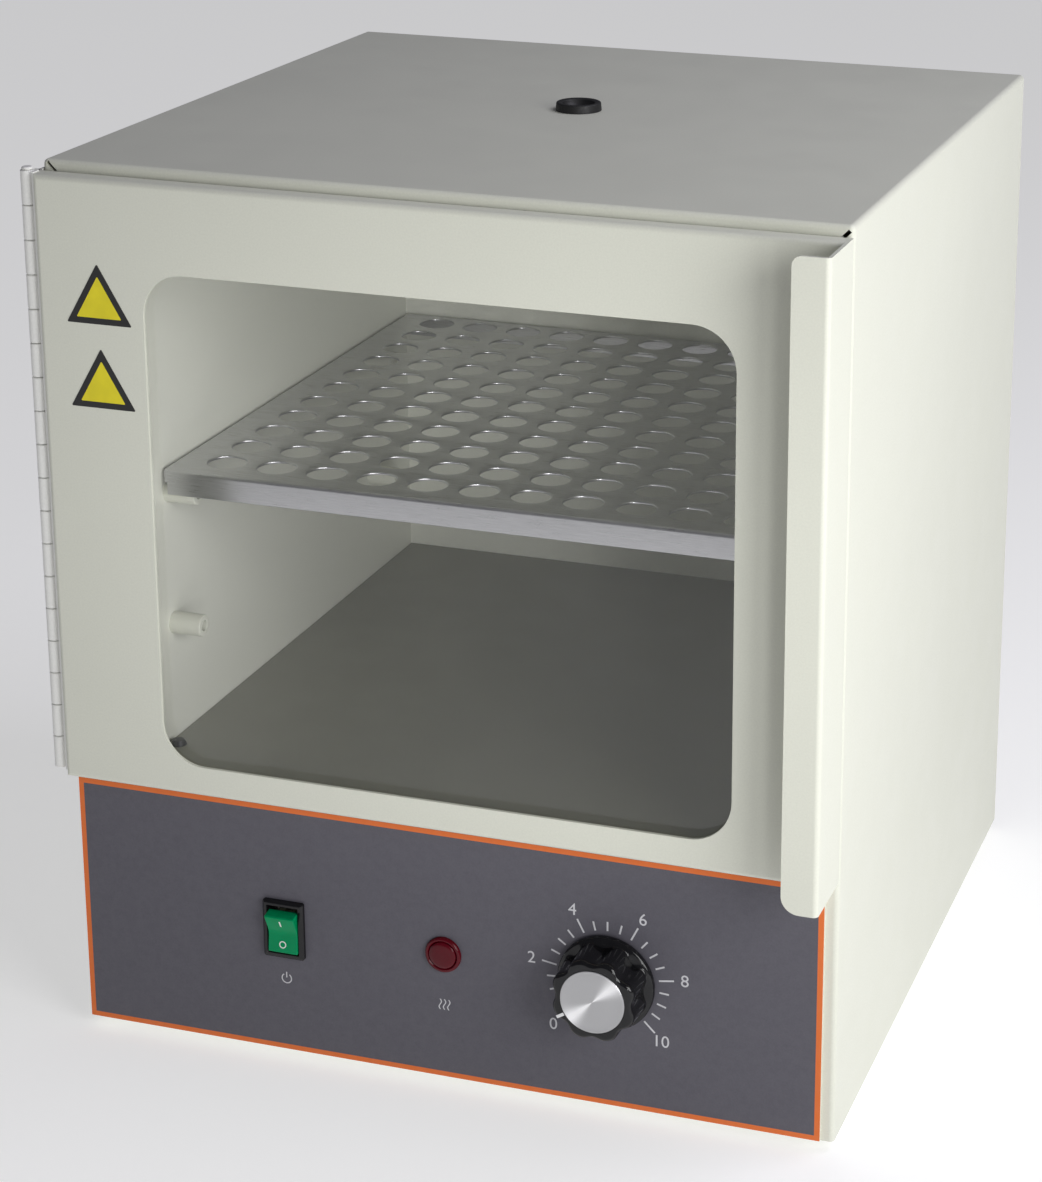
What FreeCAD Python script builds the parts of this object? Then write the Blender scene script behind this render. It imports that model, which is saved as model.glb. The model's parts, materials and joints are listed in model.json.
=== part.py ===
"""Compact laboratory incubator: a folded steel case with a hinged, glazed door,
a lined and insulated chamber with a perforated shelf, and a control panel below.

Every sub-part is drawn in the case frame: X to the right from the middle of the
case, Y to the rear from the front of the case, Z up from the table. Each node's
Placement then moves it by centre_x and front_y, so that the origin of the whole
object is the middle of its outline on the table.
"""
import FreeCAD, Part
import os
import re
from math import cos, pi, radians, sin

import Sketcher

VECTOR = FreeCAD.Vector

DIMENSIONS = {
    # whole case
    "centre_x": 3.2,
    "front_y": -118.55,
    "case_wide": 280,
    "case_deep": 262,
    "case_base": 4,
    "case_top": 322,
    "sheet": 1.2,
    "bend": 1.8,
    "flange": 12,
    # control panel
    "panel_left": -138.5,
    "panel_right": 135.5,
    "panel_low": 4.5,
    "panel_top": 98.5,
    "overlay": 0.4,
    "control_z": 52,
    "switch_x": -60,
    "dial_x": 60,
    # chamber
    "chamber_half": 114,
    "chamber_floor": 106,
    "chamber_top": 302,
    "chamber_back": 239,
    "liner": 1,
    "port_y": 138,
    "port_bore": 4.5,
    # shelf
    "shelf_half": 113.2,
    "shelf_front": 22,
    "shelf_deep": 216,
    "shelf_top": 208.6,
    "shelf_lip": 9,
    "shelf_side_lip": 5.4,
    "shelf_sheet": 1,
    "hole_pitch": 19,
    "hole_radius": 7,
    "hole_side": 11,
    "peg_radius": 4,
    "peg_long": 12,
    "peg_upper": 198.9,
    "peg_lower": 149.3,
    # door
    "door_low": 101,
    "door_top": 318.3,
    "door_deep": 6.5,
    "door_back": 1,
    "handle_reach": 20,
    "handle_lip": 12.3,
    "window_x": 2,
    "window_half": 103,
    "window_low": 112,
    "window_top": 288,
    "window_round": 15,
    "pane": 3,
    # hinge
    "hinge_x": -144,
    "hinge_y": -3,
    "hinge_low": 103,
    "hinge_long": 216,
    "knuckle_radius": 2.4,
    "hinge_pin_radius": 1.2,
    "leaf": 0.8,
    "knuckles": 18,
    # knob
    "knob_radius": 17.3,
    "knob_face": 17.2,
    "knob_back": 2.1,
    "cap_radius": 11.5,
    "shaft_radius": 3,
    # rear inlet
    "inlet_x": -85,
    "inlet_z": 45,
}

doc = FreeCAD.newDocument("incubator")
sheet = doc.addObject("Spreadsheet::Sheet", "dims")
nodes = []
places = {}


def fill_sheet():
    """Write every driving dimension into the sheet under its own alias."""
    for row, (alias, size) in enumerate(DIMENSIONS.items(), start=1):
        sheet.set(f"A{row}", alias)
        sheet.set(f"B{row}", str(size))
        sheet.setAlias(f"B{row}", alias)
    doc.recompute()


def size_of(alias):
    """Return a driving dimension as a number."""
    return float(sheet.get(alias))


def formula(text):
    """Turn words that are aliases into references to the sheet."""
    def refer(match):
        word = match.group(0)
        return f"dims.{word}" if word in DIMENSIONS else word
    return re.sub(r"[a-z_][a-z0-9_]*", refer, str(text))


def bind(item, **texts):
    """Bind properties to formulas; a double underscore stands for a dot."""
    for name, text in texts.items():
        item.setExpression(name.replace("__", "."), formula(text))


def locate(item, x, y, z):
    """Bind an object's base point and remember it."""
    places[item.Name] = (x, y, z)
    bind(item, Placement__Base__x=x, Placement__Base__y=y, Placement__Base__z=z)


def block(name, x, y, z):
    """Make a box from three (low, high) pairs of formulas."""
    item = doc.addObject("Part::Box", name)
    bind(item, Length=f"({x[1]}) - ({x[0]})", Width=f"({y[1]}) - ({y[0]})", Height=f"({z[1]}) - ({z[0]})")
    locate(item, x[0], y[0], z[0])
    return item


TURNS = {
    "x": FreeCAD.Rotation(VECTOR(0, 1, 0), 90),
    "y": FreeCAD.Rotation(VECTOR(1, 0, 0), -90),
    "z": FreeCAD.Rotation(),
}


def rod(name, axis, x, y, z, radius, length):
    """Make a cylinder that runs from its base point along +X, +Y or +Z."""
    item = doc.addObject("Part::Cylinder", name)
    item.Placement = FreeCAD.Placement(VECTOR(), TURNS[axis])
    bind(item, Radius=radius, Height=length)
    locate(item, x, y, z)
    return item


def cone(name, axis, x, y, z, radius_base, radius_end, length):
    """Make a cone that runs from its base point along +X, +Y or +Z."""
    item = doc.addObject("Part::Cone", name)
    item.Placement = FreeCAD.Placement(VECTOR(), TURNS[axis])
    bind(item, Radius1=radius_base, Radius2=radius_end, Height=length)
    locate(item, x, y, z)
    return item


def fuse(name, items):
    """Join objects into one solid, or into a group of separate solids."""
    item = doc.addObject("Part::MultiFuse", name)
    item.Shapes = items
    places[item.Name] = ("0", "0", "0")
    return item


def group(name, items):
    """Hold separate solids together in one object."""
    item = doc.addObject("Part::Compound", name)
    item.Links = items
    places[item.Name] = ("0", "0", "0")
    return item


def cut(name, base, tools):
    """Cut one or more tools out of a base."""
    item = doc.addObject("Part::Cut", name)
    item.Base = base
    item.Tool = tools[0] if len(tools) == 1 else group(name + "_tools", tools)
    places[item.Name] = ("0", "0", "0")
    return item


def rounded(name, base, radius, test):
    """Round the edges of an object whose middle point passes a test."""
    doc.recompute()
    item = doc.addObject("Part::Fillet", name)
    item.Base = base
    chosen = []
    for number, edge in enumerate(base.Shape.Edges, start=1):
        if test(edge):
            chosen.append((number, radius, radius))
    if not chosen:
        raise RuntimeError(f"{name}: no edge to round")
    item.Edges = chosen
    places[item.Name] = ("0", "0", "0")
    return item


def node(label, item):
    """Register an object as a finished sub-part and shift it to the row frame."""
    item.Label = label
    x, y, z = places.get(item.Name, ("0", "0", "0"))
    locate(item, f"{x} + centre_x", f"{y} + front_y", z)
    nodes.append(item)
    return item


def solid_node(label, shape, x="0", y="0", z="0"):
    """Register a shape made with Part's own functions as a sub-part at a place."""
    item = doc.addObject("Part::Feature", label + "_body")
    item.Shape = shape
    places[item.Name] = (x, y, z)
    return node(label, item)


def new_body(label):
    """Start a PartDesign body that is a finished sub-part."""
    body = doc.addObject("PartDesign::Body", label + "_body")
    doc.recompute()
    return node(label, body)


def new_sketch(body, name, plane, offset):
    """Attach a sketch to one of the body's own planes, offset along its normal."""
    sketch = body.newObject("Sketcher::SketchObject", name)
    origin_plane = [item for item in body.Origin.OriginFeatures if item.Role == plane][0]
    sketch.AttachmentSupport = [(origin_plane, "")]
    sketch.MapMode = "FlatFace"
    bind(sketch, AttachmentOffset__Base__z=offset)
    return sketch


def draw_rectangle(sketch, low_x, high_x, low_y, high_y):
    """Draw a rectangle whose four sides are bound to formulas."""
    corners = [VECTOR(-1, -1, 0), VECTOR(1, -1, 0), VECTOR(1, 1, 0), VECTOR(-1, 1, 0)]
    first = sketch.GeometryCount
    for start, end in zip(corners, corners[1:] + corners[:1]):
        sketch.addGeometry(Part.LineSegment(start, end), False)
    for side in range(4):
        sketch.addConstraint(Sketcher.Constraint("Coincident", first + side, 2, first + (side + 1) % 4, 1))
    for side, kind in enumerate(("Horizontal", "Vertical", "Horizontal", "Vertical")):
        sketch.addConstraint(Sketcher.Constraint(kind, first + side))
    bounds = ((low_x, "DistanceX", 0, 1), (low_y, "DistanceY", 0, 1), (high_x, "DistanceX", 1, 2),
              (high_y, "DistanceY", 1, 2))
    for text, kind, side, point in bounds:
        drive(sketch, Sketcher.Constraint(kind, -1, 1, first + side, point, 1), text)


def draw_circle(sketch, x, y, radius):
    """Draw a circle whose centre and radius are bound to formulas."""
    first = sketch.GeometryCount
    sketch.addGeometry(Part.Circle(VECTOR(1, 1, 0), VECTOR(0, 0, 1), 1), False)
    drive(sketch, Sketcher.Constraint("DistanceX", -1, 1, first, 3, 1), x)
    drive(sketch, Sketcher.Constraint("DistanceY", -1, 1, first, 3, 1), y)
    drive(sketch, Sketcher.Constraint("Radius", first, 1), radius)


def drive(sketch, constraint, text):
    """Add a sized constraint and bind it to a formula."""
    number = sketch.addConstraint(constraint)
    sketch.setExpression(f"Constraints[{number}]", formula(text))


def pad(body, name, sketch, length, reverse=False):
    """Pad a sketch by a bound length."""
    feature = body.newObject("PartDesign::Pad", name)
    feature.Profile = sketch
    feature.Reversed = reverse
    bind(feature, Length=length)
    return feature


def pocket(body, name, sketch, length, reverse=False):
    """Pocket a sketch by a bound length and make sure that it cut something."""
    doc.recompute()
    before = body.Shape.Volume
    feature = body.newObject("PartDesign::Pocket", name)
    feature.Profile = sketch
    feature.Reversed = reverse
    bind(feature, Length=length)
    doc.recompute()
    if body.Shape.Volume > before - 1e-3:
        raise RuntimeError(f"{name} cuts nothing")
    return feature


# ---------------------------------------------------------------- cabinet shell

CASE_X = ("-case_wide / 2", "case_wide / 2")
CASE_Y = ("0", "case_deep")
INSIDE_X = ("-case_wide / 2 + sheet", "case_wide / 2 - sheet")
CHAMBER_X = ("-chamber_half", "chamber_half")


def on_edge(x=None, y=None, z=None):
    """Return a test for an edge whose middle lies at the coordinates given."""
    def test(edge):
        middle = edge.valueAt((edge.FirstParameter + edge.LastParameter) / 2)
        wanted = ((x, middle.x), (y, middle.y), (z, middle.z))
        return all(want is None or abs(want - have) < 1e-3 for want, have in wanted)
    return test


def make_outer_wrap():
    """Top and two sides in one bent sheet, with a narrow flange round the front."""
    half = size_of("case_wide") / 2
    top = size_of("case_top")
    depth = size_of("case_deep")
    thick = size_of("sheet")
    bend = size_of("bend")
    skin = block("wrap_block", CASE_X, CASE_Y, ("case_base", "case_top"))
    skin = rounded("wrap_bends", skin, bend, lambda edge: (
        on_edge(y=depth / 2, z=top)(edge) or on_edge(x=0, y=0, z=top)(edge)
        or on_edge(x=-half, y=0)(edge) or on_edge(x=half, y=0)(edge)))
    inside = block("wrap_inside", INSIDE_X, ("sheet", "case_deep + 1"), ("case_base - 1", "case_top - sheet"))
    inner_top = top - thick
    inside = rounded("wrap_inner_bends", inside, bend - thick, lambda edge: (
        on_edge(x=half - thick, z=inner_top)(edge) or on_edge(x=thick - half, z=inner_top)(edge)
        or on_edge(x=0, y=thick, z=inner_top)(edge)
        or on_edge(x=half - thick, y=thick)(edge) or on_edge(x=thick - half, y=thick)(edge)))
    mouth = block("wrap_mouth", ("-case_wide / 2 + flange", "case_wide / 2 - flange"), ("-1", "sheet + 1"),
                  ("case_base - 1", "case_top - flange"))
    port = rod("wrap_port", "z", "0", "port_y", "case_top - sheet - 1", "6.6", "sheet + 2")
    slots = [corner_slot(side) for side in (-1, 1)]
    node("outer_wrap", cut("wrap_shell", skin, [inside, mouth, port] + slots))


def corner_slot(side):
    """A slanted relief slot where the top flange meets a side flange."""
    item = doc.addObject("Part::Box", f"wrap_slot_{'right' if side > 0 else 'left'}")
    bind(item, Length="1.3", Width="sheet + 3", Height="flange * 0.62")
    item.Placement = FreeCAD.Placement(VECTOR(), FreeCAD.Rotation(VECTOR(0, 1, 0), side * 45))
    locate(item, f"{side} * (case_wide / 2 - 6.8) - 0.3", "-1", "case_top - 6.6")
    return item


def make_base_pan():
    """Bottom pan with an upturned rim, holes for the feet and a vent field."""
    outer = block("pan_block", ("-case_wide / 2 + sheet + 0.1", "case_wide / 2 - sheet - 0.1"),
                  ("bend + 0.2", "case_deep - sheet - 0.2"), ("case_base", "case_base + flange"))
    inner = block("pan_inside", ("-case_wide / 2 + 2 * sheet", "case_wide / 2 - 2 * sheet"),
                  ("bend + sheet", "case_deep - 2 * sheet - 0.2"),
                  ("case_base + sheet", "case_base + flange + 1"))
    vents = []
    for number in range(7):
        vents.append(block(f"pan_vent_{number}", ("-40", "40"),
                           (f"90 + {number} * 14", f"94 + {number} * 14"),
                           ("case_base - 1", "case_base + sheet + 1")))
    holes = []
    for number, (x, y) in enumerate(foot_places()):
        holes.append(rod(f"pan_foot_hole_{number}", "z", x, y, "case_base - 1", "2.2", "sheet + 2"))
    stud = rod("pan_stud_hole", "z", "-40", "232", "case_base - 1", "2.1", "sheet + 2")
    node("base_pan", cut("pan_shell", outer, [inner, stud] + vents + holes))


def foot_places():
    """Centres of the four feet."""
    return [(f"{side} * (case_wide / 2 - 24)", y) for side in (-1, 1) for y in ("26", "case_deep - 26")]


def make_feet():
    """Four rubber feet, each with a sunk hole and its screw."""
    feet = []
    screws = []
    for number, (x, y) in enumerate(foot_places()):
        pad_outer = cone(f"foot_block_{number}", "z", x, y, "0", "8", "9", "case_base")
        sunk = rod(f"foot_sunk_{number}", "z", x, y, "-1", "4.4", "3")
        hole = rod(f"foot_hole_{number}", "z", x, y, "0", "2.2", "case_base + 1")
        feet.append(cut(f"foot_{number}", pad_outer, [sunk, hole]))
        head = rod(f"foot_screw_head_{number}", "z", x, y, "0.4", "3.9", "1.6")
        shank = rod(f"foot_screw_shank_{number}", "z", x, y, "1.8", "1.9", "9")
        screws.append(fuse(f"foot_screw_{number}", [head, shank]))
    node("feet", group("feet_group", feet))
    node("foot_screws", group("foot_screw_group", screws))


def make_back_panel():
    """Rear panel with two fields of vent slots and the inlet's opening."""
    plate = block("back_plate", ("-case_wide / 2 + sheet + 0.1", "case_wide / 2 - sheet - 0.1"),
                  ("case_deep - sheet", "case_deep"), ("case_base + 0.1", "case_top - bend - 0.2"))
    tools = []
    for row in range(5):
        for column in range(2):
            low = f"20 + {column} * 42"
            tools.append(block(f"back_slot_{row}_{column}", (low, f"{low} + 34"),
                               ("case_deep - sheet - 1", "case_deep + 1"),
                               (f"28 + {row} * 9", f"31 + {row} * 9")))
    tools.append(block("back_inlet_hole", ("inlet_x - 13.6", "inlet_x + 13.6"),
                       ("case_deep - sheet - 1", "case_deep + 1"), ("inlet_z - 15.2", "inlet_z + 15.2")))
    for number, (x, z) in enumerate(back_screw_places()):
        tools.append(rod(f"back_hole_{number}", "y", x, "case_deep - sheet - 1", z, "1.7", "sheet + 2"))
    node("back_panel", cut("back_shell", plate, tools))


def back_screw_places():
    """Screw centres round the edge of the rear panel."""
    return [(f"{side} * (case_wide / 2 - 8)", z) for side in (-1, 1) for z in ("24", "(case_top + 4) / 2",
                                                                               "case_top - 12")]


def make_back_screws():
    """Pan-head screws of the rear panel."""
    screws = []
    for number, (x, z) in enumerate(back_screw_places()):
        head = rod(f"back_screw_head_{number}", "y", x, "case_deep", z, "3", "1.8")
        shank = rod(f"back_screw_shank_{number}", "y", x, "case_deep - 6", z, "1.5", "6.2")
        slot = block(f"back_screw_slot_{number}", (f"({x}) - 2", f"({x}) + 2"),
                     ("case_deep + 1", "case_deep + 3"), (f"({z}) - 0.3", f"({z}) + 0.3"))
        screws.append(cut(f"back_screw_{number}", fuse(f"back_screw_solid_{number}", [head, shank]), [slot]))
    node("back_screws", group("back_screw_group", screws))


# ---------------------------------------------------------------- chamber

def make_chamber_liner():
    """Inner steel box, open to the front, with a flange behind the outer one."""
    outer = block("liner_block", ("-chamber_half - liner", "chamber_half + liner"),
                  ("sheet + 0.1", "chamber_back + liner"), ("chamber_floor - 3", "chamber_top + liner"))
    rim = block("liner_rim", ("-case_wide / 2 + 4", "case_wide / 2 - 4"),
                ("sheet + 0.1", "sheet + 0.1 + liner"),
                ("chamber_floor - 7", "case_top - 4"))
    inside = block("liner_inside", CHAMBER_X, ("0", "chamber_back"),
                   ("chamber_floor - 3 + liner", "chamber_top"))
    port = rod("liner_port", "z", "0", "port_y", "chamber_top - 1", "port_bore + 1.6", "liner + 2")
    sensor = rod("liner_sensor_hole", "z", "98", "205", "chamber_floor - 4", "1.2", "5")
    tools = [inside, port, sensor]
    for number, (side, y, z) in enumerate(peg_places()):
        tools.append(rod(f"liner_peg_hole_{number}", "x", f"{side} * (chamber_half + liner / 2) - 1", y, z,
                         "1.6", "2"))
    node("chamber_liner", cut("liner_shell", fuse("liner_solid", [outer, rim]), tools))


def make_chamber_floor():
    """Loose floor plate over the heater, with a hole for the sensor tube."""
    plate = block("floor_block", ("-chamber_half + 0.3", "chamber_half - 0.3"), ("3", "chamber_back - 0.5"),
                  ("chamber_floor - 1.8", "chamber_floor"))
    holes = [rod("floor_sensor_hole", "z", "98", "205", "chamber_floor - 3", "1.2", "4")]
    for number, (x, y) in enumerate(floor_screw_places()):
        holes.append(rod(f"floor_hole_{number}", "z", x, y, "chamber_floor - 3", "1.6", "4"))
    node("chamber_floor", cut("floor_shell", plate, holes))


def floor_screw_places():
    """Centres of the two floor screws, in the front corners."""
    return [(f"{side} * (chamber_half - 3.9)", "20") for side in (-1, 1)]


def make_floor_screws():
    """Dark button-head screws that hold the floor plate down."""
    screws = []
    for number, (x, y) in enumerate(floor_screw_places()):
        head = cone(f"floor_screw_head_{number}", "z", x, y, "chamber_floor", "3", "2", "1.8")
        shank = rod(f"floor_screw_shank_{number}", "z", x, y, "chamber_floor - 1.7", "1.5", "1.8")
        screws.append(fuse(f"floor_screw_{number}", [head, shank]))
    node("floor_screws", group("floor_screw_group", screws))


def peg_places():
    """Side, depth and height of each shelf peg."""
    return [(side, y, z) for z in ("peg_upper", "peg_lower") for side in (-1, 1) for y in ("28", "200")]


def make_shelf_pegs():
    """Hollow pegs that carry the shelf at either of two heights."""
    pegs = []
    for number, (side, y, z) in enumerate(peg_places()):
        start = "-chamber_half" if side < 0 else "chamber_half - peg_long"
        barrel = rod(f"peg_barrel_{number}", "x", start, y, z, "peg_radius", "peg_long")
        mouth = "-chamber_half + 3" if side < 0 else "chamber_half - peg_long - 1"
        bore = rod(f"peg_bore_{number}", "x", mouth, y, z, "1.9", "peg_long - 2")
        pegs.append(cut(f"peg_{number}", barrel, [bore]))
    node("shelf_pegs", group("peg_group", pegs))


def make_insulation():
    """Glass-wool jacket between the liner and the outer wrap."""
    outer = block("wool_block", ("-case_wide / 2 + 6", "case_wide / 2 - 6"),
                  ("sheet + liner + 0.3", "case_deep - 6"),
                  ("chamber_floor - 11", "case_top - 5"))
    inner = block("wool_inside", ("-chamber_half - liner - 0.2", "chamber_half + liner + 0.2"),
                  ("0", "chamber_back + liner + 0.2"), ("chamber_floor - 5", "chamber_top + liner + 0.2"))
    port = rod("wool_port", "z", "0", "port_y", "chamber_top - 1", "port_bore + 2.2",
               "case_top - chamber_top")
    lead = block("wool_lead_way", ("70", "106"), ("190", "220"), ("chamber_floor - 12", "chamber_floor - 4"))
    cutout = block("wool_limit_way", ("-24", "24"), ("112", "150"),
                   ("chamber_floor - 12", "chamber_floor - 4"))
    node("insulation", cut("wool_shell", outer, [inner, port, lead, cutout]))
    shield = block("shield_block", ("-case_wide / 2 + 6", "case_wide / 2 - 6"),
                   ("sheet + 0.2", "case_deep - 4"),
                   ("chamber_floor - 12.2", "chamber_floor - 11.2"))
    ways = [block("shield_lead_way", ("70", "106"), ("190", "220"),
                  ("chamber_floor - 14", "chamber_floor - 10")),
            block("shield_limit_way", ("-24", "24"), ("112", "150"),
                  ("chamber_floor - 14", "chamber_floor - 10"))]
    node("compartment_shield", cut("shield_shell", shield, ways))


def make_heater():
    """Flat heating mat under the liner and the bimetal cut-out pressed against it."""
    mat = block("mat_block", ("-92", "92"), ("24", "chamber_back - 22"),
                ("chamber_floor - 4.6", "chamber_floor - 3.1"))
    gap = rod("mat_gap", "z", "98", "205", "chamber_floor - 6", "4", "4")
    node("heater_mat", cut("mat_shell", mat, [gap]))
    can = rod("limit_can", "z", "0", "131", "chamber_floor - 12", "8", "7.2")
    ears = block("limit_ears", ("-17", "17"), ("127", "135"), ("chamber_floor - 6", "chamber_floor - 4.8"))
    tabs = [block(f"limit_tab_{side}", (f"{side} * 4 - 0.4", f"{side} * 4 + 0.4"), ("128", "134"),
                  ("chamber_floor - 20", "chamber_floor - 11.9")) for side in (-1, 1)]
    node("limit_thermostat", fuse("limit_solid", [can, ears] + tabs))


def make_port():
    """Thermometer port: a rubber grommet in the top and a tube down to the chamber."""
    top = size_of("case_top")
    bore = size_of("port_bore")
    thick = size_of("sheet")
    under, collar, neck, brim = top - thick - 0.1, 8.4, 6.4, 8.4
    profile = [(bore, top - 4.2), (collar, top - 4.2), (collar, under), (neck, under), (neck, top + 0.1),
               (brim, top + 0.1), (brim - 0.1, top + 1), (brim - 1, top + 2.9), (brim - 1.6, top + 3.4),
               (bore + 1.2, top + 3.2), (bore, top + 1.8)]
    ring = Part.Wire([Part.LineSegment(VECTOR(x1, 0, z1), VECTOR(x2, 0, z2)).toShape()
                      for (x1, z1), (x2, z2) in zip(profile, profile[1:] + profile[:1])])
    rubber = Part.Face(ring).revolve(VECTOR(0, 0, 0), VECTOR(0, 0, 1), 360)
    solid_node("port_grommet", rubber, y="port_y")
    outer = rod("port_outer", "z", "0", "port_y", "chamber_top - 2", "port_bore + 1.5",
                "case_top - chamber_top - 3")
    inner = rod("port_inner", "z", "0", "port_y", "chamber_top - 3", "port_bore", "case_top - chamber_top")
    node("port_tube", cut("port_shell", outer, [inner]))


def make_shelf():
    """Perforated stainless shelf: a flat plate with lips turned down, shorter at the sides to sit on the pegs."""
    body = new_body("shelf")
    outline = new_sketch(body, "shelf_outline", "XY_Plane", "shelf_top - shelf_lip")
    draw_rectangle(outline, "-shelf_half", "shelf_half", "shelf_front", "shelf_front + shelf_deep")
    pad(body, "shelf_block", outline, "shelf_lip")
    hollow = new_sketch(body, "shelf_hollow", "XY_Plane", "shelf_top - shelf_lip")
    draw_rectangle(hollow, "-shelf_half + shelf_sheet", "shelf_half - shelf_sheet",
                   "shelf_front + shelf_sheet", "shelf_front + shelf_deep - shelf_sheet")
    pocket(body, "shelf_underside", hollow, "shelf_lip - shelf_sheet", reverse=True)
    trim = new_sketch(body, "shelf_trim", "XY_Plane", "shelf_top - shelf_lip")
    draw_rectangle(trim, "-shelf_half - 1", "shelf_half + 1",
                   "shelf_front + shelf_sheet", "shelf_front + shelf_deep - shelf_sheet")
    pocket(body, "shelf_side_trim", trim, "shelf_lip - shelf_side_lip", reverse=True)
    hole = new_sketch(body, "shelf_hole", "XY_Plane", "shelf_top")
    draw_circle(hole, "-hole_pitch * (hole_side - 1) / 2", "shelf_front + 15", "hole_radius")
    first = pocket(body, "shelf_first_hole", hole, "shelf_sheet + 1")
    grid = body.newObject("PartDesign::MultiTransform", "shelf_grid")
    steps = []
    for name, axis in (("across", "H_Axis"), ("back", "V_Axis")):
        step = body.newObject("PartDesign::LinearPattern", f"shelf_{name}")
        step.Direction = (hole, [axis])
        bind(step, Length="hole_pitch * (hole_side - 1)", Occurrences="hole_side")
        steps.append(step)
    grid.Originals = [first]
    grid.Transformations = steps
    body.Tip = grid
    doc.recompute()


# ---------------------------------------------------------------- door

DOOR_Z = ("door_low", "door_top")
DOOR_FACE = "-(door_deep + door_back)"
PANE_FACE = f"{DOOR_FACE} + sheet"
GRIP_FACE = f"{DOOR_FACE} - handle_reach"


def make_door_panel():
    """Door skin with turned edges, a window opening and a folded grip on the right."""
    half = size_of("case_wide") / 2
    face = -(size_of("door_deep") + size_of("door_back"))
    low, top = size_of("door_low"), size_of("door_top")
    tray = block("door_block", CASE_X, (DOOR_FACE, "-door_back"), DOOR_Z)
    tray = rounded("door_bends", tray, size_of("bend"), lambda edge: (
        on_edge(x=-half, y=face)(edge) or on_edge(x=0, y=face, z=top)(edge) or on_edge(x=0, y=face,
                                                                                       z=low)(edge)))
    hollow = block("door_hollow", INSIDE_X, (PANE_FACE, "1"), ("door_low + sheet", "door_top - sheet"))
    window = block("door_window", ("window_x - window_half", "window_x + window_half"),
                   (f"{DOOR_FACE} - 1", "0"),
                   ("window_low", "window_top"))
    window = rounded("door_window_round", window, size_of("window_round"), lambda edge: (
        abs(edge.valueAt(edge.FirstParameter).y - edge.valueAt(edge.LastParameter).y) > 1))
    grip = make_grip()
    node("door_panel", cut("door_shell", fuse("door_solid", [tray, grip]), [hollow, window]))


def make_grip():
    """Full-height grip: the sheet folds forward and returns over the door."""
    half = size_of("case_wide") / 2
    face = -(size_of("door_deep") + size_of("door_back") + size_of("handle_reach"))
    thick = size_of("sheet")
    edge_x = half - size_of("handle_lip")
    low, top = size_of("door_low"), size_of("door_top")
    outer = block("grip_block", ("case_wide / 2 - handle_lip", "case_wide / 2"),
                  (GRIP_FACE, f"{DOOR_FACE} + 1"), DOOR_Z)
    outer = rounded("grip_bend", outer, size_of("bend"), on_edge(x=half, y=face))
    outer = rounded("grip_top_corner", outer, 3.3, on_edge(x=edge_x, z=top))
    outer = rounded("grip_low_corner", outer, 6, on_edge(x=edge_x, z=low))
    inner = block("grip_inside", ("case_wide / 2 - handle_lip - 1", "case_wide / 2 - sheet"),
                  (f"{GRIP_FACE} + sheet", f"{DOOR_FACE} + 2"), ("door_low - 1", "door_top + 1"))
    inner = rounded("grip_inner_bend", inner, size_of("bend") - thick,
                    on_edge(x=half - thick, y=face + thick))
    return cut("grip_shell", outer, [inner])


def make_window_pane():
    """Clear acrylic pane behind the opening, held by clips on welded studs."""
    pane = block("pane_block", ("window_x - window_half - 6", "window_x + window_half + 6"),
                 (PANE_FACE, f"{PANE_FACE} + pane"), ("window_low - 6", "window_top + 6"))
    node("window_pane", pane)
    studs = []
    clips = []
    nuts = []
    for side in (-1, 1):
        for number, z in enumerate(("140", "200", "260")):
            x = f"window_x + {side} * (window_half + 11)"
            name = f"{number}_{'right' if side > 0 else 'left'}"
            studs.append(rod(f"stud_{name}", "y", x, PANE_FACE, z, "1.5", "4.8"))
            plate = block(f"clip_plate_{name}", (f"{x} - 4.5", f"{x} + 4.5"),
                          (f"{PANE_FACE} + pane", f"{PANE_FACE} + pane + 0.6"),
                          (f"{z} - 4", f"{z} + 4"))
            tab = block(f"clip_tab_{name}", (f"{x} + {side} * 2.6 - 1.4", f"{x} + {side} * 2.6 + 1.4"),
                        (PANE_FACE, f"{PANE_FACE} + pane"), (f"{z} - 4", f"{z} + 4"))
            hole = rod(f"clip_hole_{name}", "y", x, DOOR_FACE, z, "1.6", "9")
            clips.append(cut(f"clip_{name}", fuse(f"clip_solid_{name}", [plate, tab]), [hole]))
            nut = rod(f"nut_block_{name}", "y", x, f"{PANE_FACE} + pane + 0.6", z, "2.9", "1.2")
            thread = rod(f"nut_thread_{name}", "y", x, DOOR_FACE, z, "1.55", "9")
            nuts.append(cut(f"nut_{name}", nut, [thread]))
    node("pane_studs", group("stud_group", studs))
    node("pane_clips", group("clip_group", clips))
    node("pane_nuts", group("nut_group", nuts))


def make_gasket():
    """Silicone seal round the chamber's mouth, fixed inside the door."""
    outer = block("gasket_block", ("-126.5", "126.5"), (PANE_FACE, "0.9"), ("door_low + 2", "309"))
    inner = block("gasket_inside", ("-120.5", "120.5"), (DOOR_FACE, "2"), ("door_low + 4.8", "303.5"))
    node("door_gasket", cut("gasket_ring", outer, [inner]))


def make_catch():
    """Magnet on the case flange and the steel strike inside the door."""
    node("catch_magnet", block("magnet_block", ("129.5", "136.5"), ("-2.6", "0"), ("195", "235")))
    node("strike_plate", block("strike_block", ("129.5", "136.5"), (PANE_FACE, "-3.1"), ("192", "238")))


def make_stickers():
    """Two plain triangular stickers on the door, one above the other."""
    turn = FreeCAD.Rotation(VECTOR(0, 0, 1), VECTOR(1, 0, 0), VECTOR(0, 1, 0), "ZXY")
    signs = []
    for number, z in enumerate(("275.6", "246.2")):
        item = doc.addObject("Part::Prism", f"sticker_{number}")
        item.Polygon = 3
        item.Placement = FreeCAD.Placement(VECTOR(), turn)
        bind(item, Circumradius="13.9", Height="0.15")
        locate(item, "-117.4", f"{DOOR_FACE} - 0.15", z)
        signs.append(item)
    node("door_stickers", group("sticker_group", signs))


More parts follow.
